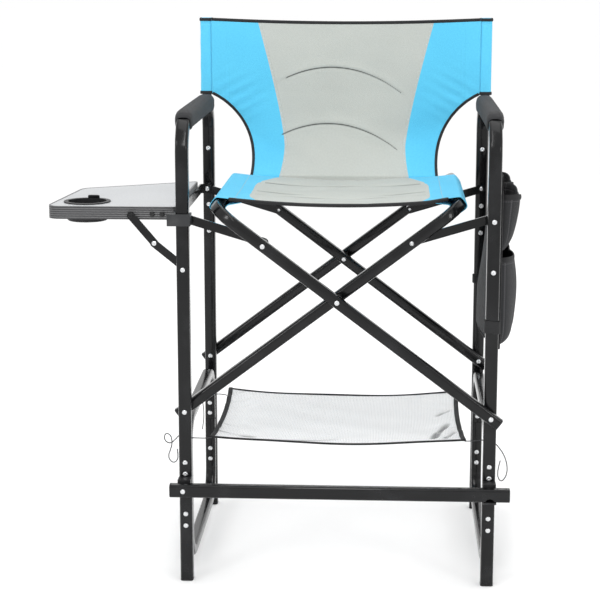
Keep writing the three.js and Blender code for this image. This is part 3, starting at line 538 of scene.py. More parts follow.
BLUE = ((0.060, 0.41, 0.68, 1), (0.13, 0.64, 0.89, 1))
SILVER = ((0.37, 0.39, 0.365, 1), (0.55, 0.575, 0.54, 1))
sling_cloth = cloth("blue_and_silver_cloth", *BLUE, panel=SILVER, sheen=0.05,
                    seams=(("rim_seam", "Y"), ("cross_seam", "X")), thread=(0.42, 0.47, 0.50, 1))
# painted shade: a grey band along each line across the silver panel, standing in for the shade in its fold
paint_tuck_shade(sling_cloth, (0.17, 0.18, 0.17, 1), reach=0.0075)
dark_cloth = cloth("charcoal_cloth", (0.007, 0.0072, 0.008, 1), (0.032, 0.033, 0.036, 1),
                   seams=(("rim_seam", "Y"), ("cross_seam", "X")), thread=(0.07, 0.07, 0.075, 1), depth=0.9,
                   pitch=0.0014, sheen=0.05)
webbing = cloth("black_webbing", (0.005, 0.005, 0.0055, 1), (0.020, 0.0205, 0.022, 1), depth=1.6,
                pitch=0.0022, sheen=0.04)


# ---- Seat ----
# A sling of two cloth layers with sleeves that the seat rails run through. A silver panel is
# sewn over the blue cloth, with two lines across it and black binding on the front edge.
RAIL_X = 0.23195
RAIL_Z = 0.74677
SLEEVE_HALF = 0.0131
SEAT_FRONT_Y = -0.212
SEAT_REAR_Y = 0.1685
SEAT_SAG = 0.013
PANEL_HALF = 0.178
CROSS_LINES = (0.078, -0.045, -0.092)
HEM = 0.012
CLOTH_THICKNESS = 0.0016
SLOPE = math.radians(37.15)


def grid_object(name, points, body, made, uv=None, around=False, marks=None, thickness=0, levels=0,
                faces_out=True):
    """A surface through a grid of points (rows, columns, 3), optionally closed along its columns'
    direction. uv is (rows, columns, 2) in metres and marks are named numbers on the grid."""
    quads = grid_quads(*points.shape[:2], around)
    if not faces_out:
        quads = quads[:, ::-1]
    data = bpy.data.meshes.new(name)
    data.from_pydata(points.reshape(-1, 3).tolist(), [], quads.tolist())
    corner = np.empty(len(data.loops), dtype=np.int32)
    data.loops.foreach_get("vertex_index", corner)
    if uv is not None:
        layer = data.uv_layers.new(name="cloth")
        layer.data.foreach_set("uv", uv.reshape(-1, 2)[corner].astype(np.float32).ravel())
    for label, values in (marks or {}).items():
        layer = data.attributes.new(label, "FLOAT", "POINT")
        layer.data.foreach_set("value", values.ravel().astype(np.float32))
    if around and not thickness:
        weld(data)
    data.shade_smooth()
    data.materials.append(made)
    piece = placed(name, data)
    if thickness:
        wall = piece.modifiers.new("thickness", "SOLIDIFY")
        wall.thickness = thickness
        wall.offset = -1
        wall.use_even_offset = True
    if levels:
        smooth = piece.modifiers.new("smooth", "SUBSURF")
        smooth.levels = smooth.render_levels = levels
    if body:
        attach(piece, body)
    return piece


def travelled(line):
    """The distance run along a line of points, at each of them."""
    return np.concatenate([[0], np.cumsum(np.linalg.norm(np.diff(line, axis=0), axis=1))])


def rounded(turn, power):
    """Radius at each angle of a rounded square 1 in half width, squarer for a higher power."""
    return (np.abs(np.cos(turn)) ** power + np.abs(np.sin(turn)) ** power) ** (-1 / power)


def sleeve_arc(side, turns, sweep):
    """Points round a seat rail: a rounded square of exponent 4, turned with the tube's slope."""
    angle = np.radians(np.linspace(*sweep, turns))
    radius = SLEEVE_HALF * rounded(angle - side * SLOPE, 4)
    return np.stack([side * RAIL_X + radius * np.cos(angle), RAIL_Z + radius * np.sin(angle)], axis=-1)


def seat_height(x):
    """The sling's top line: level with the sleeves' tops and sagging as a parabola between them."""
    top = sleeve_arc(1, 2, (90, 90))[0, 1]
    return top - SEAT_SAG * (1 - np.clip(np.abs(x) / RAIL_X, 0, 1) ** 2)


under_x = np.linspace(-0.186, -0.216, 6)
under = np.stack([under_x, seat_height(under_x) - np.linspace(0.0035, 0.012, 6)], axis=-1)
sheet_x = np.linspace(-RAIL_X, RAIL_X, 61)[1:-1]
sheet_line = np.stack([sheet_x, seat_height(sheet_x)], axis=-1)
left_wrap = sleeve_arc(-1, 22, (-55, -270))
half = np.concatenate([under, left_wrap])
mirrored = (half * (-1, 1))[::-1]
section = np.concatenate([half, sheet_line, mirrored])
run = travelled(section)
run -= run[-1] / 2
front_to_rear = np.linspace(0, 1, 97)[:, None]
x, z, front_to_rear = np.broadcast_arrays(section[None, :, 0], section[None, :, 1], front_to_rear)
z = z.copy()


def front_shift(x):
    """How far the front edge lies back near the right rail, which starts further back."""
    return 0.03 * np.clip((x - 0.17) / 0.05, 0, 1)


TOP_REACH = 0.235
on_top = np.abs(run)[None, :] < TOP_REACH
y = SEAT_FRONT_Y + (SEAT_REAR_Y - SEAT_FRONT_Y) * front_to_rear + front_shift(x) * (1 - front_to_rear)
on_sheet = np.clip(1 - np.abs(x) / 0.225, 0, 1) ** 0.5 * on_top
z -= on_sheet * 0.006 * np.sin(np.pi * front_to_rear) ** 2
z += on_sheet * 0.0010 * np.sin(26 * x + 9 * y) * np.sin(31 * y - 7 * x)
z += on_sheet * 0.0008 * np.sin(95 * (y + 0.4 * np.abs(x)))
for line_y in CROSS_LINES:
    z -= (np.abs(x) < PANEL_HALF) * on_sheet * 0.0042 * np.exp(-((y - line_y) / 0.0065) ** 2)
panel_half = PANEL_HALF - 0.046 * np.clip((y - 0.02) / 0.1485, 0, 1) ** 2.2 - \
    0.024 * np.clip((-0.11 - y) / 0.102, 0, 1) ** 2.5
rim = np.minimum(np.abs(np.abs(x) - panel_half + 0.0035), np.abs(np.abs(run)[None, :] - 0.2015))
cross = np.min([np.abs(y - line_y) for line_y in CROSS_LINES], axis=0)
seat = grid_object("seat_sling", gathered(x + middle_x, y + middle_y, z), None, sling_cloth,
                   uv=gathered(run, y), thickness=CLOTH_THICKNESS, levels=1, faces_out=False,
                   marks={"panel": (panel_half - np.abs(x)) * on_top - 10 * ~on_top,
                          "rim_seam": rim, "cross_seam": np.abs(y - SEAT_REAR_Y + HEM),
                          "tuck": cross + (np.abs(x) > panel_half - 0.004)})
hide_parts("seat_fabric")
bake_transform(seat)

# the binding is a tape folded over the front edge
BINDING = 0.011
line_x = np.linspace(-0.212, 0.212, 60)
line_z = np.interp(line_x, *section[len(half) - 1:len(section) - len(half) + 1].T)
fold = np.linspace(-90, 90, 7)
front_y = SEAT_FRONT_Y + front_shift(line_x)
loop_y = np.concatenate([[BINDING], -0.0016 * np.cos(np.radians(fold)), [BINDING]])
loop_z = np.concatenate([[-0.0030], 0.0024 * np.sin(np.radians(fold)) - 0.0008, [0.0012]])
binding_points = gathered(line_x[:, None] + middle_x, front_y[:, None] + loop_y[None, :] + middle_y,
                          line_z[:, None] + loop_z[None, :])
binding = grid_object("seat_front_binding", binding_points, None, webbing,
                      uv=gathered(line_x[:, None], loop_z * 4), thickness=0.0010, levels=1)
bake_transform(binding)

# ---- Back ----
# One wide cloth with a sleeve at each end that slips over its post. A waisted silver panel is
# sewn on the front, with two arched tucks, and black tape binds the top and the arm openings.
POST_X = 0.302
POST_Y = 0.267
BACK_LOW_Z = 0.744
BACK_TOP_Z = 1.088
SLEEVE_BOTTOM_Z = 0.927
POST_SLEEVE = 0.0126
PANEL_EDGE_X = POST_X - 0.012


def arm_opening(z):
    """Half width of the cloth: a cubic from the seat's rear corners out to the sleeves' lower ends."""
    t = np.linspace(0, 1, 200)
    bend = [(0.302, 0.930), (0.252, 0.915), (0.190, 0.850), (0.200, 0.7578)]
    weight = [(1 - t) ** 3, 3 * t * (1 - t) ** 2, 3 * t ** 2 * (1 - t), t ** 3]
    width = sum(w * p[0] for w, p in zip(weight, bend))
    height = sum(w * p[1] for w, p in zip(weight, bend))
    return np.minimum(np.interp(z, height[::-1], width[::-1]), PANEL_EDGE_X)


# the two tucks: middle in x, height of the crown, drop to the ends and tilt
ARCHES = ((-0.004, 0.983, 0.042, -0.13), (-0.012, 0.860, 0.040, -0.12))


def above_arch(x, z, arch):
    """Height above a tuck: a parabola down from its crown, tilted along X."""
    centre_x, crown_z, drop, tilt = arch
    return z - (crown_z - drop * ((x - centre_x) / 0.13) ** 2 + tilt * (x - centre_x))


def back_points(u, z):
    """The cloth's front: it leans forward to the seat as a cube law below, and near the posts it
    comes forward to meet the sleeves' front faces."""
    low = np.clip(1 - (z - 0.7585) / 0.148, 0, 1)
    top_sag = 0.0075 * (1 - u ** 2) * np.clip((z - 0.95) / (BACK_TOP_Z - 0.95), 0, 1)
    half = arm_opening(z)
    x = u * half
    high = np.clip((z - 0.87) / 0.06, 0, 1)
    y = POST_Y - 0.003 - 0.0093 * np.abs(u) ** 8 * high + 0.004 * (1 - u ** 2) * high
    y = y - 0.093 * low ** 3
    # slack folds that fan out from the sleeves' lower ends and across the small of the back
    fan = np.exp(-((np.abs(x) - 0.235) / 0.05) ** 2) * np.exp(-((z - 0.915) / 0.055) ** 2)
    y = y + 0.0009 * fan * np.sin((z + 0.55 * np.abs(x)) * 240)
    y = y + 0.0012 * np.exp(-((z - 0.80) / 0.03) ** 2) * np.sin(x * 55 + z * 90)
    y = y + 0.0009 * np.sin(x * 21 + 1.3) * np.sin(z * 34)
    for arch in ARCHES:
        rise = above_arch(x, z, arch)
        inside = np.clip(1.12 - np.abs(x - arch[0]) / 0.125, 0, 1) ** 0.5
        y = y - 0.0024 * inside * np.exp(-(np.clip(rise, 0, None) / 0.014) ** 2) * (rise > 0)
        y = y + 0.0016 * inside * np.exp(-(rise / 0.0035) ** 2)
    return np.stack([x + middle_x, y + middle_y, z - top_sag], axis=-1)


u = np.linspace(-1, 1, 161)[None, :]
z = np.linspace(BACK_LOW_Z, BACK_TOP_Z, 150)[:, None]
u, z = np.broadcast_arrays(u, z)
x = u * arm_opening(z)
silver_half = 0.131 + 0.058 * np.clip((z - 0.815) / 0.265, 0, 1) ** 1.2 + \
    0.008 * np.clip((0.815 - z) / 0.060, 0, 1) ** 2
arch_gap = np.full(x.shape, 1.0)
for arch in ARCHES:
    rise, beyond = above_arch(x, z, arch), np.clip(np.abs(x - arch[0]) - 0.125, 0, None)
    arch_gap = np.minimum(arch_gap, np.hypot(rise, beyond))
back_marks = {
    "panel": silver_half - np.abs(x),
    "rim_seam": np.minimum(np.abs(np.abs(x) - silver_half + 0.0035), np.abs(np.abs(x) - 0.2555)),
    "cross_seam": np.ones(x.shape),
    "tuck": arch_gap,
}
back_cloth = cloth("blue_and_silver_back", *BLUE, panel=SILVER,
                   seams=(("rim_seam", "Y"), ("cross_seam", "X")), thread=(0.60, 0.68, 0.74, 1))
# painted shade: a dark band along the two arched tucks, standing in for the shadow in their folds
paint_tuck_shade(back_cloth, (0.10, 0.105, 0.10, 1))

back = grid_object("back_cloth", back_points(u, z), "left_frame", back_cloth,
                   uv=np.stack([x, z], axis=-1), marks=back_marks, thickness=0.0018)
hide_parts("back_fabric")


def tape_along(name, path, inward, overhang, wide, thick, body):
    """A folded webbing tape over a cloth edge: an oval section carried along the path, its long axis
    along inward and its outer edge standing off the path by the overhang."""
    tangent = np.gradient(path, axis=0)
    tangent /= np.linalg.norm(tangent, axis=1, keepdims=True)
    inward = np.array(inward, float)
    inward = inward - (inward * tangent).sum(1, keepdims=True) * tangent
    inward /= np.linalg.norm(inward, axis=1, keepdims=True)
    normal = np.cross(tangent, inward)
    angle = np.linspace(0, 2 * np.pi, 16, endpoint=False)
    centre = path + inward * (wide - overhang)
    points = (centre[:, None, :] + inward[:, None, :] * (wide * np.cos(angle))[None, :, None]
              + normal[:, None, :] * (thick * np.sin(angle))[None, :, None])
    first, last = (ring.mean(1, keepdims=True) * 0.999 + ring * 0.001 for ring in (points[:1], points[-1:]))
    points = np.concatenate([first, points, last])
    piece = grid_object(name, points, body, webbing, around=True,
                        uv=gathered(angle * wide / 2, travelled(points.mean(1))[:, None]))
    return piece


edge_u = np.linspace(-1, 1, 90)
top_path = back_points(edge_u, np.full(90, BACK_TOP_Z)) + (0, 0.0009, 0)
top_tape = tape_along("back_top_tape", top_path, (0, 0, -1), 0.0012, 0.0036, 0.0021, "left_frame")
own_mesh(top_tape)
edge_z = np.linspace(BACK_LOW_Z, SLEEVE_BOTTOM_Z, 80)
for name, side in (("left", -1.0), ("right", 1.0)):
    path = back_points(np.full(80, side), edge_z) + (0, 0.0009, 0)
    arm_tape = tape_along(name + "_arm_opening_tape", path, (-side, 0, 0.3), 0.0012, 0.0032, 0.0021,
                          "left_frame")
    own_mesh(arm_tape)
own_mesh(back)


def hoop(x, y, radius, turn, z):
    """Points round an upright line at x and y: a radius for each angle, and a height."""
    return gathered(x + radius * np.cos(turn), y + radius * np.sin(turn), z)


TAPE_STANDS_OFF = 0.0008
sleeve_cloth = cloth("blue_sleeve_cloth", *BLUE, seams=(("rim_seam", "X"),), thread=(0.60, 0.68, 0.74, 1))
for name, side in (("left", -1), ("right", 1)):
    turn = np.linspace(0, 2 * np.pi, 48, endpoint=False)
    radius = POST_SLEEVE * rounded(turn, 5)
    z = np.concatenate([[SLEEVE_BOTTOM_Z + 0.004] * 2, np.linspace(SLEEVE_BOTTOM_Z, BACK_TOP_Z - 0.002, 60),
                        BACK_TOP_Z + np.array([0.0005, 0.0012, 0.0014, 0.0014])])
    shrink = np.concatenate([[0.001, 0.90], np.ones(60), [0.93, 0.7, 0.3, 0.001]])
    ripple = 1 + 0.018 * np.sin(z * 130 + side)[:, None] * np.sin(2 * turn + 1.0)[None, :]
    ring = radius[None, :] * shrink[:, None] * ripple
    points = hoop(middle_x + side * POST_X, middle_y + POST_Y, ring, turn, z[:, None])
    sleeve = grid_object(name + "_post_sleeve", points, name + "_frame", sleeve_cloth, around=True,
                         uv=gathered(turn * POST_SLEEVE, z[:, None]),
                         marks={"rim_seam": np.abs(points[..., 2] - BACK_TOP_Z + HEM)})
    turn = np.linspace(0, 2 * np.pi, 33)
    ring = (POST_SLEEVE + TAPE_STANDS_OFF) * rounded(turn, 5)
    for label, height in (("top", BACK_TOP_Z - 0.001), ("hem", SLEEVE_BOTTOM_Z + 0.003)):
        path = hoop(middle_x + side * POST_X, middle_y + POST_Y, ring, turn, height)
        tape_along(name + "_sleeve_" + label + "_tape", path, (0, 0, -1), 0.002, 0.0034, 0.0011,
                   name + "_frame")

# ---- Arm pads ----
# Soft foam wrapped round the arm tube in a charcoal cloth sleeve, gathered at its ends.
ARM_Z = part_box("left_side_tube")[1][2] - 0.0125
BEND_START = 0.184
BEND_RADIUS = 0.060
PAD_HALF_LENGTH = 0.23
PAD_GRIP = 0.0136
PAD_LIP = 0.97
for name, side in (("left", -1), ("right", 1)):
    line = np.linspace(-1, 1, 150)
    along = line * (BEND_START + BEND_RADIUS * 0.50)
    beyond = np.clip(np.abs(along) - BEND_START, 0, None) / BEND_RADIUS
    y = np.sign(along) * (np.minimum(np.abs(along), BEND_START) + BEND_RADIUS * np.sin(beyond))
    z = ARM_Z - BEND_RADIUS * (1 - np.cos(beyond))
    up = gathered(0.0, np.sign(along) * np.sin(beyond), np.cos(beyond))
    turn = np.linspace(0, 2 * np.pi, 64, endpoint=False)
    ends = np.clip((1 - np.abs(line)) / 0.035, 0, 1) ** 0.5
    swell = 1 + 0.05 * np.sin(np.pi * (line + 1) / 2) + 0.012 * np.sin(line * 23 + 2 * side)
    half_wide = (PAD_GRIP + 0.0034 * ends * swell)[:, None]
    half_tall = (PAD_GRIP + 0.0050 * ends * swell)[:, None]
    outline = rounded(turn, 3.2)[None, :]
    wrinkle = 1 + 0.016 * ends[:, None] * np.sin(8 * turn[None, :] + 9 * line[:, None] * 4) \
        * np.sin(line * 61 + side)[:, None]
    sideways = half_wide * outline * wrinkle * np.cos(turn)[None, :]
    upwards = half_tall * outline * wrinkle * np.sin(turn)[None, :] - 0.0012 * ends[:, None]
    centre = gathered(middle_x + side * LEG_X, y + middle_y, z)
    points = centre[:, None, :] + up[:, None, :] * upwards[..., None] + \
        np.array([1.0, 0, 0])[None, None, :] * sideways[..., None]
    lips = centre[[0, -1]][:, None, :] + (points[[0, -1]] - centre[[0, -1]][:, None, :]) * PAD_LIP
    points = np.concatenate([lips[:1], points, lips[1:]])
    seam, end_line = np.broadcast_arrays(
        np.abs(turn - 1.5 * np.pi) * 0.018,
        np.abs(np.abs(np.linspace(-1, 1, len(points))) - 0.955)[:, None] * PAD_HALF_LENGTH)
    pad = grid_object(name + "_pad_sleeve", points, name + "_frame", dark_cloth, around=True,
                      uv=gathered(turn * 0.017, np.linspace(-PAD_HALF_LENGTH, PAD_HALF_LENGTH,
                                                            len(points))[:, None]),
                      marks={"rim_seam": seam, "cross_seam": end_line}, thickness=0.0012,
                      faces_out=False)
    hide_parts(name + "_arm_pad")

# ---- Shelf ----
# A slung net of open white mesh with dark webbing sewn round its edge and tied at its corners.
NET_WIDE = 0.506
NET_FRONT_Y = -0.210
NET_REAR_Y = 0.200
NET_Z = 0.2825
DEEPEST_CREASE = 0.007
net, tree, shader = material("open_mesh", {"Roughness": 0.8})
cloth_map, split = cloth_axes(tree)
HOLE_PITCH = 0.0032
strand_x, strand_y = (calc(tree, "ABSOLUTE", calc(tree, "SINE", calc(
    tree, "MULTIPLY", split[axis], math.pi / HOLE_PITCH))) for axis in "XY")
hole = calc(tree, "GREATER_THAN", calc(tree, "MULTIPLY", strand_x, strand_y), 0.50)
# the fold noise bumps the surface and also darkens the white where the folds sink: painted shade
folds = noise(tree, 14.0, 6.0, cloth_map)
# painted shade: the white turns dark grey along the creases where the net is pulled in, standing in for the
# shade in those folds
crease = spread(tree, read_mark(tree, "crease"), 0.12, 0.75, 0.0, 0.85, "SMOOTHSTEP")
mesh_white = blend_colour(tree, folds, (0.93, 0.935, 0.94, 1), (1.0, 1.0, 1.0, 1))
dress(tree, shader, blend_colour(tree, crease, mesh_white, (0.16, 0.165, 0.17, 1)),
      normal=bump_normal(tree, 0.8, 0.004, folds))
tree.links.new(calc(tree, "SUBTRACT", 1.0, calc(tree, "MULTIPLY", hole, 0.85)), shader.inputs["Alpha"])


# pulls in the net from its tied corners: from (u, v), to (u, v), width and depth in metres
CREASES = ((-0.99, -0.62, -0.62, -0.84, 0.050, 0.007), (-0.52, -0.93, 0.05, -0.70, 0.045, 0.005),
           (0.74, -0.86, 0.93, -0.10, 0.030, 0.007), (0.84, -0.90, 0.97, -0.45, 0.028, 0.006),
           (0.80, 0.10, 0.96, 0.42, 0.024, 0.005), (-0.97, -0.30, -0.86, -0.46, 0.024, 0.004))


def crease_depth(u, v):
    """How deep the net is pulled in: each crease is a bell across a line and fades at its ends.
    The net is 0.8 as deep as it is wide, so v counts for 0.8 of u."""
    total = np.zeros(np.shape(u))
    for u0, v0, u1, v1, width, depth in CREASES:
        run_u, run_v = (u1 - u0), (v1 - v0) * 0.8
        along = ((u - u0) * run_u + (v - v0) * 0.8 * run_v) / (run_u ** 2 + run_v ** 2)
        off = np.hypot(u - u0 - along * run_u, (v - v0) * 0.8 - along * run_v)
        fade = np.clip(np.sin(np.pi * np.clip(along, 0, 1)), 0, 1) ** 0.6
        total = np.maximum(total, depth * fade * np.exp(-(off / width) ** 2))
    return total


def net_points(u, v):
    """The slung net: its edges draw in between the corners, its middle sags as a parabola, and
    slack folds run from corner to corner."""
    x = u * NET_WIDE * (1 - 0.022 * (1 - v ** 2)) / 2
    middle = (NET_FRONT_Y + NET_REAR_Y) / 2
    y = middle + v * (NET_REAR_Y - NET_FRONT_Y) / 2 * (1 - 0.05 * (1 - u ** 2))
    z = NET_Z - 0.002 * v - 0.012 * (1 - u ** 2) * (1 - 0.15 * v) - 0.006 * (1 - v ** 2)
    edge = np.clip(np.abs(v), 0, 1) ** 4
    corner = np.exp(-((np.abs(u) - 0.86) / 0.14) ** 2) * np.exp(-((np.abs(v) - 0.7) / 0.35) ** 2)
    z = z + 0.0022 * np.sin(7 * u + 5 * v) * np.sin(6 * v + 2) * (1 - u ** 4) * (1 - edge)
    z = z + 0.0045 * corner * np.sin(26 * (np.abs(u) + 0.8 * np.abs(v))) * (1 - edge)
    z = z + 0.0014 * edge * np.sin(5 * u + 2.2 * v) * (1 - u ** 4) - crease_depth(u, v) * (1 - edge)
    return np.stack([x + middle_x, y + middle_y, z], axis=-1)


u, v = np.meshgrid(np.linspace(-1, 1, 180), np.linspace(-1, 1, 130))
# the mark 'crease' says where painted shade darkens the net
shelf = grid_object("shelf_mesh", net_points(u, v), "left_frame", net,
                    uv=np.stack([u * NET_WIDE / 2, v * 0.2], axis=-1),
                    marks={"crease": crease_depth(u + 0.012, v + 0.03) / DEEPEST_CREASE}, thickness=0.0005)
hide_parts("shelf_net")
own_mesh(shelf)
line, edge = np.linspace(-1, 1, 110), np.ones(110)
for name, path_u, path_v, inward, wide in (
        ("front", line, -edge, (0, 1, 0), 0.0042), ("rear", line, edge, (0, -1, 0), 0.0042),
        ("left", -edge, line, (1, 0, 0), 0.0050), ("right", edge, line, (-1, 0, 0), 0.0050)):
    band = tape_along("shelf_" + name + "_webbing", net_points(path_u, path_v), inward, 0.001, wide,
                      0.0019, "left_frame")
    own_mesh(band)

# ---- Side table ----
# A light laminate board in a dark ribbed aluminium rim, with a moulded cup holder dropped in.
board, tree, shader = material("laminate_board", {"Roughness": 0.42})
speckle = noise(tree, 480.0, 4.0)
cloud = noise(tree, 7.0, 3.0)
tone = calc(tree, "ADD", calc(tree, "MULTIPLY", speckle, 0.7),
            calc(tree, "MULTIPLY", cloud, 0.3))
dress(tree, shader, blend_colour(tree, tone, (0.30, 0.31, 0.32, 1), (0.58, 0.59, 0.60, 1)),
      normal=bump_normal(tree, 0.25, 0.0003, speckle))
finish_nodes(["table_board"], board)

rim, tree, shader = material("ribbed_rim", {"Metallic": 0.45, "Specular IOR Level": 0.3})
place = add(tree, "ShaderNodeTexCoord").outputs["Object"]
split = add(tree, "ShaderNodeSeparateXYZ", [("Vector", place)]).outputs
RIB_PITCH = 0.0042
rib = calc(tree, "SINE", calc(tree, "MULTIPLY", split["Z"], 2 * math.pi / RIB_PITCH))
facing = add(tree, "ShaderNodeNewGeometry").outputs["Normal"]
facing_up = add(tree, "ShaderNodeSeparateXYZ", [("Vector", facing)]).outputs["Z"]
side_face = calc(tree, "SUBTRACT", 1.0, calc(tree, "ABSOLUTE", facing_up))
rib = calc(tree, "MULTIPLY", rib, side_face)
worn = noise(tree, 220.0, 4.0)
# the rib wave also paints light ridges and dark grooves into the side faces' colour, a painted highlight and
# shade; the worn noise is wear
tone = calc(tree, "ADD", calc(tree, "MULTIPLY_ADD", rib, 0.32, 0.35), calc(tree, "MULTIPLY", worn, 0.2))
dress(tree, shader, blend_colour(tree, tone, (0.026, 0.026, 0.027, 1), (0.175, 0.176, 0.18, 1)),
      calc(tree, "MULTIPLY_ADD", worn, 0.25, 0.28), bump_normal(tree, 0.7, 0.0009, rib))
finish_nodes(["table_rim"], rim)

# two screws that hold the rim's corner block, and the sprung tab on the far side of the cup ring
rim_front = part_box("table_rim")[0][1]
rivet_heads("table_rim_screws", [(middle_x + x, rim_front, 0.731) for x in (-0.3587, -0.3395)], -1,
            "table", black_plastic, "black_plastic")
cup_low, cup_high = (np.array(c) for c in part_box("cup_holder"))
turn = np.linspace(0, 2 * np.pi, 32, endpoint=False)
corners = rounded(turn, 5)
size = np.array([0.001, 1, 1, 0.98, 0.9, 0.6, 0.001])[:, None]
rise = np.array([-0.004, -0.004, 0.0035, 0.0048, 0.0056, 0.0060, 0.0060])[:, None]
tab_points = gathered((cup_low[0] + cup_high[0]) / 2 + 0.006 + 0.0115 * size * corners * np.cos(turn),
                      cup_high[1] - 0.0045 + 0.0034 * size * corners * np.sin(turn) - 0.25 * rise,
                      cup_high[2] + rise)
cup_tab = grid_object("cup_spring_tab", tab_points, "table", black_plastic, around=True)

# ---- Side bag ----
# A charcoal cloth panel hung outside the right frame, with two pockets above and a deep one
# below. The pockets belly out under their bound mouths. Two tabs hang it and two loops tie it.
bag_low, bag_high = (np.array(c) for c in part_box("side_bag"))
BAG_X = bag_low[0] + 0.0008
BAG_INSET = 0.006
BAG_RUN = bag_high[1] - bag_low[1] - 2 * BAG_INSET


def bag_panel_point(s, t):
    """The panel: s runs from front to rear and t from bottom to top, both 0 to 1. Its top edge dips
    between its hangers and its faces ripple slightly."""
    y = bag_low[1] + BAG_INSET + BAG_RUN * s
    low = bag_low[2] + 0.004 + 0.004 * np.sin(3.1 * s)
    high = bag_high[2] - 0.006 - 0.030 * np.clip(np.sin(np.pi * s), 0, 1) ** 0.5
    z = low + (high - low) * t
    inward = np.clip(np.sin(np.pi * s), 0, 1) ** 0.9 * np.clip((0.80 - t) / 0.55, 0, 1) ** 0.8
    x = BAG_X + 0.0012 + 0.0010 * np.sin(9 * s + 4 * t) * np.sin(np.pi * s) - 0.030 * inward
    return np.stack([x, y, z], axis=-1)


s, t = np.meshgrid(np.linspace(0, 1, 90), np.linspace(0, 1, 70))
panel_points = bag_panel_point(s, t)
edge = np.minimum(np.minimum(s, 1 - s) * 0.452, np.minimum(t, 1 - t) * 0.334)
panel = grid_object("bag_panel", panel_points, "right_frame", dark_cloth,
                    uv=panel_points[..., 1:], thickness=CLOTH_THICKNESS,
                    marks={"rim_seam": np.abs(edge - 0.011), "cross_seam": np.ones(s.shape)})
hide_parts("side_bag")
for index, (across, upward, inward) in enumerate((
        ((0, 1), (0, 0), (0, 0, 1)), ((0, 1), (1, 1), (0, 0, -1)),
        ((0, 0), (0, 1), (0, 1, 0)), ((1, 1), (0, 1), (0, -1, 0)))):
    path = bag_panel_point(np.linspace(*across, 60), np.linspace(*upward, 60)) + (0.0005, 0, 0)
    tape_along("bag_edge_tape_%d" % index, path, inward, 0.002, 0.0046, 0.0018, "right_frame")

# each pocket's front and rear in y, its bottom and top in z, and how far it bellies out
POCKETS = (
    ("upper_rear_pocket", 0.008, 0.196, 0.660, 0.766, 0.040),
    ("upper_front_pocket", -0.196, -0.004, 0.660, 0.768, 0.041),
    ("lower_pocket", -0.200, 0.200, 0.474, 0.646, 0.041),
)
for name, front, rear, bottom, top, belly in POCKETS:
    s, t = np.meshgrid(np.linspace(0, 1, 80), np.linspace(0, 1, 60))
    span = rear - front
    across = (1 - np.abs(2 * s - 1) ** 6) ** 0.5
    if name == "lower_pocket":
        upward = (1 - (1 - t) ** 16) ** 0.5 * (0.90 + 0.10 * np.sin(np.pi * t) - 0.06 * t ** 4)
    else:
        upward = (1 - (1 - t) ** 8) ** 0.6 * (0.66 + 0.34 * t ** 0.8)
    ripple = 1 + 0.05 * np.sin(11 * s + 3) * np.sin(5 * t + 2 * s) + 0.014 * np.sin(27 * s + 6 * t)
    panel_t = (bottom + (top - bottom) * t - bag_low[2]) / (bag_high[2] - bag_low[2])
    panel_s = (middle_y + front + span * s - bag_low[1] - BAG_INSET) / BAG_RUN
    base = bag_panel_point(panel_s, panel_t)[..., 0] + 0.0010
    x = base + (BAG_X + belly - base) * across * upward * ripple
    y = middle_y + front + span * s + 0.002 * np.sin(9 * t) * np.sin(np.pi * s)
    dip = 0.010 * np.sin(np.pi * s) ** 2
    z = bottom + (top - dip - bottom) * t - 0.006 * across * (1 - t)
    points = np.stack([x, y, z], axis=-1)
    edge = np.minimum(np.minimum(s, 1 - s) * span, t * (top - bottom))
    pocket = grid_object("bag_" + name, points, "right_frame", dark_cloth,
                         uv=np.stack([y + x * 0.7, z], axis=-1), thickness=CLOTH_THICKNESS,
                         marks={"rim_seam": np.abs(edge - 0.005),
                                "cross_seam": np.abs(t - 1) * (top - bottom) - HEM})
    tape_along("bag_" + name + "_tape", points[-1], (0, 0, -1), 0.0015, 0.0052, 0.0017, "right_frame")


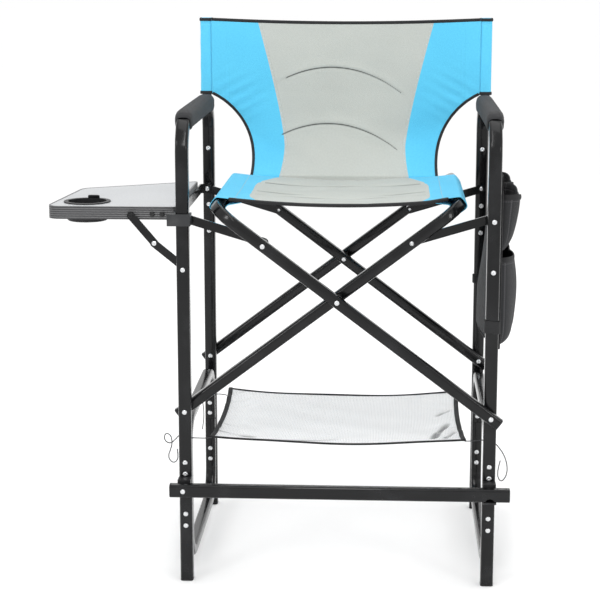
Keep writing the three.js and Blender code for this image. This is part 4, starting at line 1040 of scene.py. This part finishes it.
def ribbon(name, centre, across, width, thickness=0.0014):
    """A flat webbing strap on the right frame: a centre line (n, 3) widened both ways along the
    direction across."""
    steps = np.linspace(-0.5, 0.5, 5) * width
    points = centre[:, None, :] + np.array(across, float) * steps[None, :, None]
    strap = grid_object(name, points, "right_frame", webbing, uv=gathered(steps, travelled(centre)[:, None]),
                        thickness=thickness)


LEG_CLEAR = 0.0140
for label, leg_y, z, wide in (("front_low", -0.244, 0.522, 0.024), ("rear_low", 0.244, 0.525, 0.018)):
    turn = np.linspace(0, 2 * np.pi, 61)
    reach = LEG_CLEAR * rounded(turn, 6)
    path = hoop(middle_x + LEG_X, middle_y + leg_y, reach, turn, z + 0.001 * np.sin(2 * turn))
    ribbon("bag_" + label + "_strap", path, (0, 0, 1), wide, thickness=0.0013)
for label, leg_y in (("front", -0.219), ("rear", 0.219)):
    rise = np.linspace(0, 1, 30)
    path = gathered(BAG_X + 0.0034, middle_y + leg_y, bag_high[2] - 0.030 + 0.028 * rise)
    ribbon("bag_" + label + "_hanger_tab", path, (0, 1, 0), 0.022)

# ---- End caps ----
# Pressed-in plastic caps with a crowned face close the two ends of the foot bar. Each is rings of
# a rounded rectangle, drawn in towards the crown.
CAP_HALF_DEEP = 0.0100
CAP_HALF_TALL = 0.0130
CAP_RINGS = np.array([
    (0.001, -0.006), (0.80, -0.006), (0.80, 0.0002), (1.0, 0.0002), (1.0, 0.0012), (0.985, 0.0019),
    (0.93, 0.0024), (0.80, 0.0027), (0.5, 0.0030), (0.001, 0.0031)])[:, :, None]
turn = np.linspace(0, 2 * np.pi, 40, endpoint=False)
ring = CAP_RINGS[:, 0] * rounded(turn, 5.0)
rings = gathered(CAP_HALF_DEEP * ring * np.cos(turn), CAP_HALF_TALL * ring * np.sin(turn), CAP_RINGS[:, 1])
bar_low, bar_high = (np.array(c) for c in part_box("foot_bar"))
bar_caps = []
for side, x in ((-1, bar_low[0]), (1, bar_high[0])):
    bar_caps.append(np.stack([x + side * rings[..., 2], side * rings[..., 0] + (bar_low[1] + bar_high[1]) / 2,
                              rings[..., 1] + (bar_low[2] + bar_high[2]) / 2], axis=-1))
joined_rings("foot_bar_caps", bar_caps, "foot_bar", black_plastic, False)
